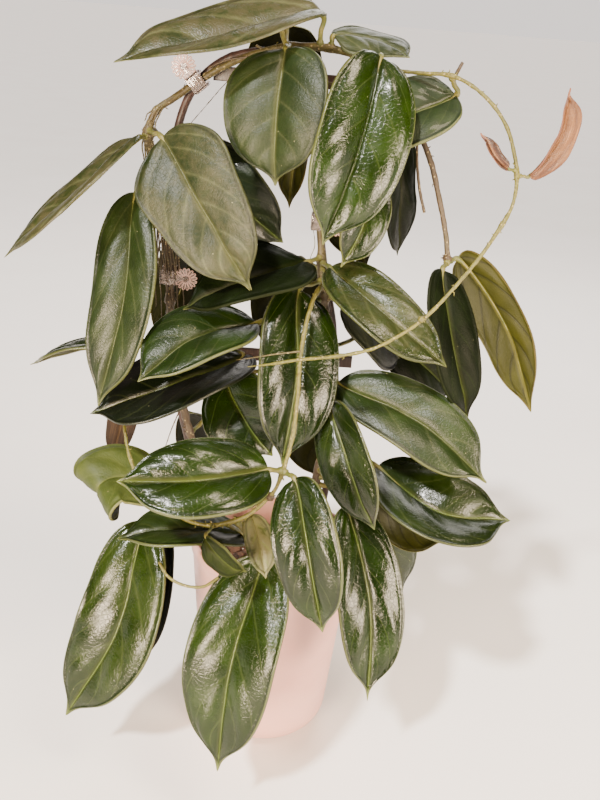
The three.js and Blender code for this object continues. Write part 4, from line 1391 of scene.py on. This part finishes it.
# The pot's wall runs straight from foot to rim, with a rounded corner below and a thicker band on top.
POT_HEIGHT = 145
RIM_RADIUS = 55
FOOT_RADIUS = 43
CORNER = 20
POT_WALL = 3
BAND = 9
SOIL_TOP = 127
SOIL_LUMP = 2.5
SOIL_GAP = 0.4
# How many chips and grains there are, and the range of their lengths in mm.
CHIPS = 330
CHIP_LONG = (2.5, 7.5)
PERLITE = 90
PERLITE_LONG = (1, 2.2)


def wall_radius(z):
    return FOOT_RADIUS + (RIM_RADIUS - FOOT_RADIUS) * z / POT_HEIGHT


def corner_points(inset, floor, steps):
    radius = CORNER - inset
    centre = wall_radius(CORNER) - CORNER
    angles = [math.pi / 2 * i / steps for i in range(steps + 1)]
    return [(centre + radius * math.sin(a), floor + radius * (1 - math.cos(a))) for a in angles]


def turned(name, profile, steps):
    """A body turned about the pot's axis from (radius, height) points in mm."""
    mesh = bpy.data.meshes.new(name)
    mesh.from_pydata([(r * MM, 0, z * MM) for r, z in profile],
                     [(i, i + 1) for i in range(len(profile) - 1)], [])
    piece = placed(name, mesh)
    screw = piece.modifiers.new("turned", "SCREW")
    screw.steps = screw.render_steps = steps
    screw.use_merge_vertices = True
    screw.merge_threshold = SAME_PLACE
    apply_modifiers(piece)
    bpy.ops.object.mode_set(mode="EDIT")
    bpy.ops.mesh.select_all(action="SELECT")
    bpy.ops.mesh.remove_doubles(threshold=SAME_PLACE)
    bpy.ops.mesh.normals_make_consistent(inside=False)
    bpy.ops.object.mode_set(mode="OBJECT")
    smooth(piece)
    return piece


def pot_plastic():
    """Pale pink plastic, satin from the mould: faint clouding, smears round the wall, and a fine grain."""
    material, node, shader, place = new_finish("satin pink plastic")
    clouds = node("noise", Vector=place, Scale=every(71.43), Detail=4.0)
    grain = node("noise", Vector=place, Scale=every(0.7143), Detail=2.0)
    flattened = node("Mapping", Vector=place, Scale=(1.0, 1.0, 6.0))
    smears = node("noise", Vector=flattened, Scale=every(33.333), Detail=5.0, Roughness=0.7)
    skin = node("mix", node("ease", clouds, 0.3, 0.7), "#c99387", "#d3a297")
    skin = node("mix", node("ease", smears, 0.55, 0.8, 0.0, 0.3), skin, "#e0a892")
    fill(
        shader,
        Base_Color=skin,
        Roughness=node("ease", smears, 0.3, 0.7, 0.34, 0.48),
        Subsurface_Weight=0.08,
        Subsurface_Radius=(0.01, 0.006, 0.004),
        Normal=node("Bump", Strength=0.08, Distance=0.0002, Height=grain),
    )
    return material


def make_pot():
    foot = POT_HEIGHT - BAND
    lip = [
        (-0.05, -1.2), (-0.3, -0.45), (-0.9, -0.05), (-1.6, 0.0),
        (-2.6, -0.05), (-3.3, -0.45), (-3.6, -1.3),
    ]
    profile = [
        (0, 0.6),
        (26, 0.6),
        (27, 0),
        *corner_points(0, 0, 14),
        *[(wall_radius(z), z) for z in range(30, foot - 1, 10)],
        (wall_radius(foot) - 0.05, foot - 0.5),
        (wall_radius(foot) + 0.2, foot - 0.05),
        (wall_radius(foot) + 0.75, foot + 0.45),
        (wall_radius(foot) + 1.0, foot + 1.1),
        *[(RIM_RADIUS + 1 + r, POT_HEIGHT + z) for r, z in lip],
        *reversed([(wall_radius(z) - POT_WALL, z) for z in range(30, foot + 1, 8)]),
        *reversed(corner_points(POT_WALL, POT_WALL, 10)),
        (0, POT_WALL),
    ]
    pot = turned("fine_pot", profile, 128)
    pot.data.materials.append(pot_plastic())
    finished(pot, "pot", "pot")


def bark_chip_finish():
    """Orchid bark: dark red-brown chips with paler, corky broken faces."""
    material, node, shader, place = new_finish("orchid bark")
    clouds = node("noise", Vector=place, Scale=every(6.667), Detail=5.0, Roughness=0.7)
    fine = node("noise", Vector=place, Scale=every(1.111), Detail=3.0)
    skin = node("mix", node("ease", clouds, 0.35, 0.65), "#24160e", "#5a3a24")
    skin = node("mix", node("ease", fine, 0.55, 0.75, 0.0, 0.5), skin, "#8a6342")
    bump = node("Bump", Strength=0.6, Distance=0.0006, Height=fine)
    fill(shader, Base_Color=skin, Roughness=0.85, Normal=bump)
    return material


def perlite_finish():
    """Perlite: white, dull, pitted grains."""
    material, node, shader, place = new_finish("perlite")
    pits = node("noise", Vector=place, Scale=every(0.8333), Detail=3.0)
    bump = node("Bump", Strength=0.5, Distance=0.0004, Height=pits)
    fill(shader, Base_Color=node("mix", pits, "#b9b2a6", "#e6e1d8"), Roughness=0.9, Normal=bump)
    return material


def soil_height(x, y):
    lump = math.sin(x * 0.31 + 1) * math.cos(y * 0.27) + 0.6 * math.sin(x * 0.13 - y * 0.41)
    return SOIL_TOP + SOIL_LUMP * lump / 1.6


def make_soil():
    """A bed that fills the pot, strewn with bark chips and a few grains of perlite."""
    random.seed("soil")
    inset = POT_WALL + SOIL_GAP
    top = wall_radius(SOIL_TOP) - inset
    profile = [
        (0, inset),
        *corner_points(inset, inset, 6),
        *[(wall_radius(z) - inset, z) for z in range(30, SOIL_TOP - 4, 15)],
        *[(top * (1 - i / 14), SOIL_TOP) for i in range(14)],
        (0, SOIL_TOP),
    ]
    bed = turned("bed", profile, 72)
    points = points_of(bed.data) / MM
    for point in points:
        if point[2] > SOIL_TOP - 0.01:
            rough = noise.noise(Vector(point) / 4) * 1.2
            point[2] = soil_height(point[0], point[1]) - 1.2 + rough
    set_points(bed.data, points * MM)
    bark, perlite = bark_chip_finish(), perlite_finish()
    bed.data.materials.append(bark)
    masters = []
    for i in range(5):
        bpy.ops.mesh.primitive_cube_add(size=1)
        chip = bpy.context.object
        take(chip)
        bpy.ops.object.mode_set(mode="EDIT")
        bpy.ops.mesh.select_all(action="SELECT")
        bpy.ops.mesh.subdivide(number_cuts=1, smoothness=0.4)
        bpy.ops.transform.vertex_random(offset=0.13, seed=i)
        bpy.ops.object.mode_set(mode="OBJECT")
        chip.data.materials.append(bark)
        masters.append(chip)
    bpy.ops.mesh.primitive_ico_sphere_add(subdivisions=1, radius=0.5)
    grain = bpy.context.object
    grain.data.materials.append(perlite)
    parts = [bed]
    for i in range(CHIPS + PERLITE):
        far = (top - 2.5) * math.sqrt(random.random())
        angle = random.uniform(0, 2 * math.pi)
        x, y = far * math.cos(angle), far * math.sin(angle)
        is_chip = i < CHIPS
        piece = copy_of(random.choice(masters) if is_chip else grain, "chip")
        long = random.uniform(*(CHIP_LONG if is_chip else PERLITE_LONG))
        flat = random.uniform(0.25, 0.6) if is_chip else 0.85
        piece.scale = (long * MM, long * random.uniform(0.5, 0.9) * MM, long * flat * MM)
        piece.rotation_euler = (random.gauss(0, 0.35), random.gauss(0, 0.35), random.uniform(0, 6.3))
        piece.location = (x * MM, y * MM, (soil_height(x, y) - 0.6 + random.uniform(0, 1)) * MM)
        parts.append(piece)
    take(parts[1])
    for piece in parts[1:]:
        piece.select_set(True)
    bpy.ops.object.transform_apply(location=True, rotation=True, scale=True)
    soil = joined(parts, "fine_soil")
    discard(*masters, grain)
    finished(soil, "soil", "soil")


set_camera()
set_stage()
make_stems(make_leaves())
cane = dark_cane()
make_hoop(cane)
make_slats(cane)
make_clips()
make_pot()
make_soil()
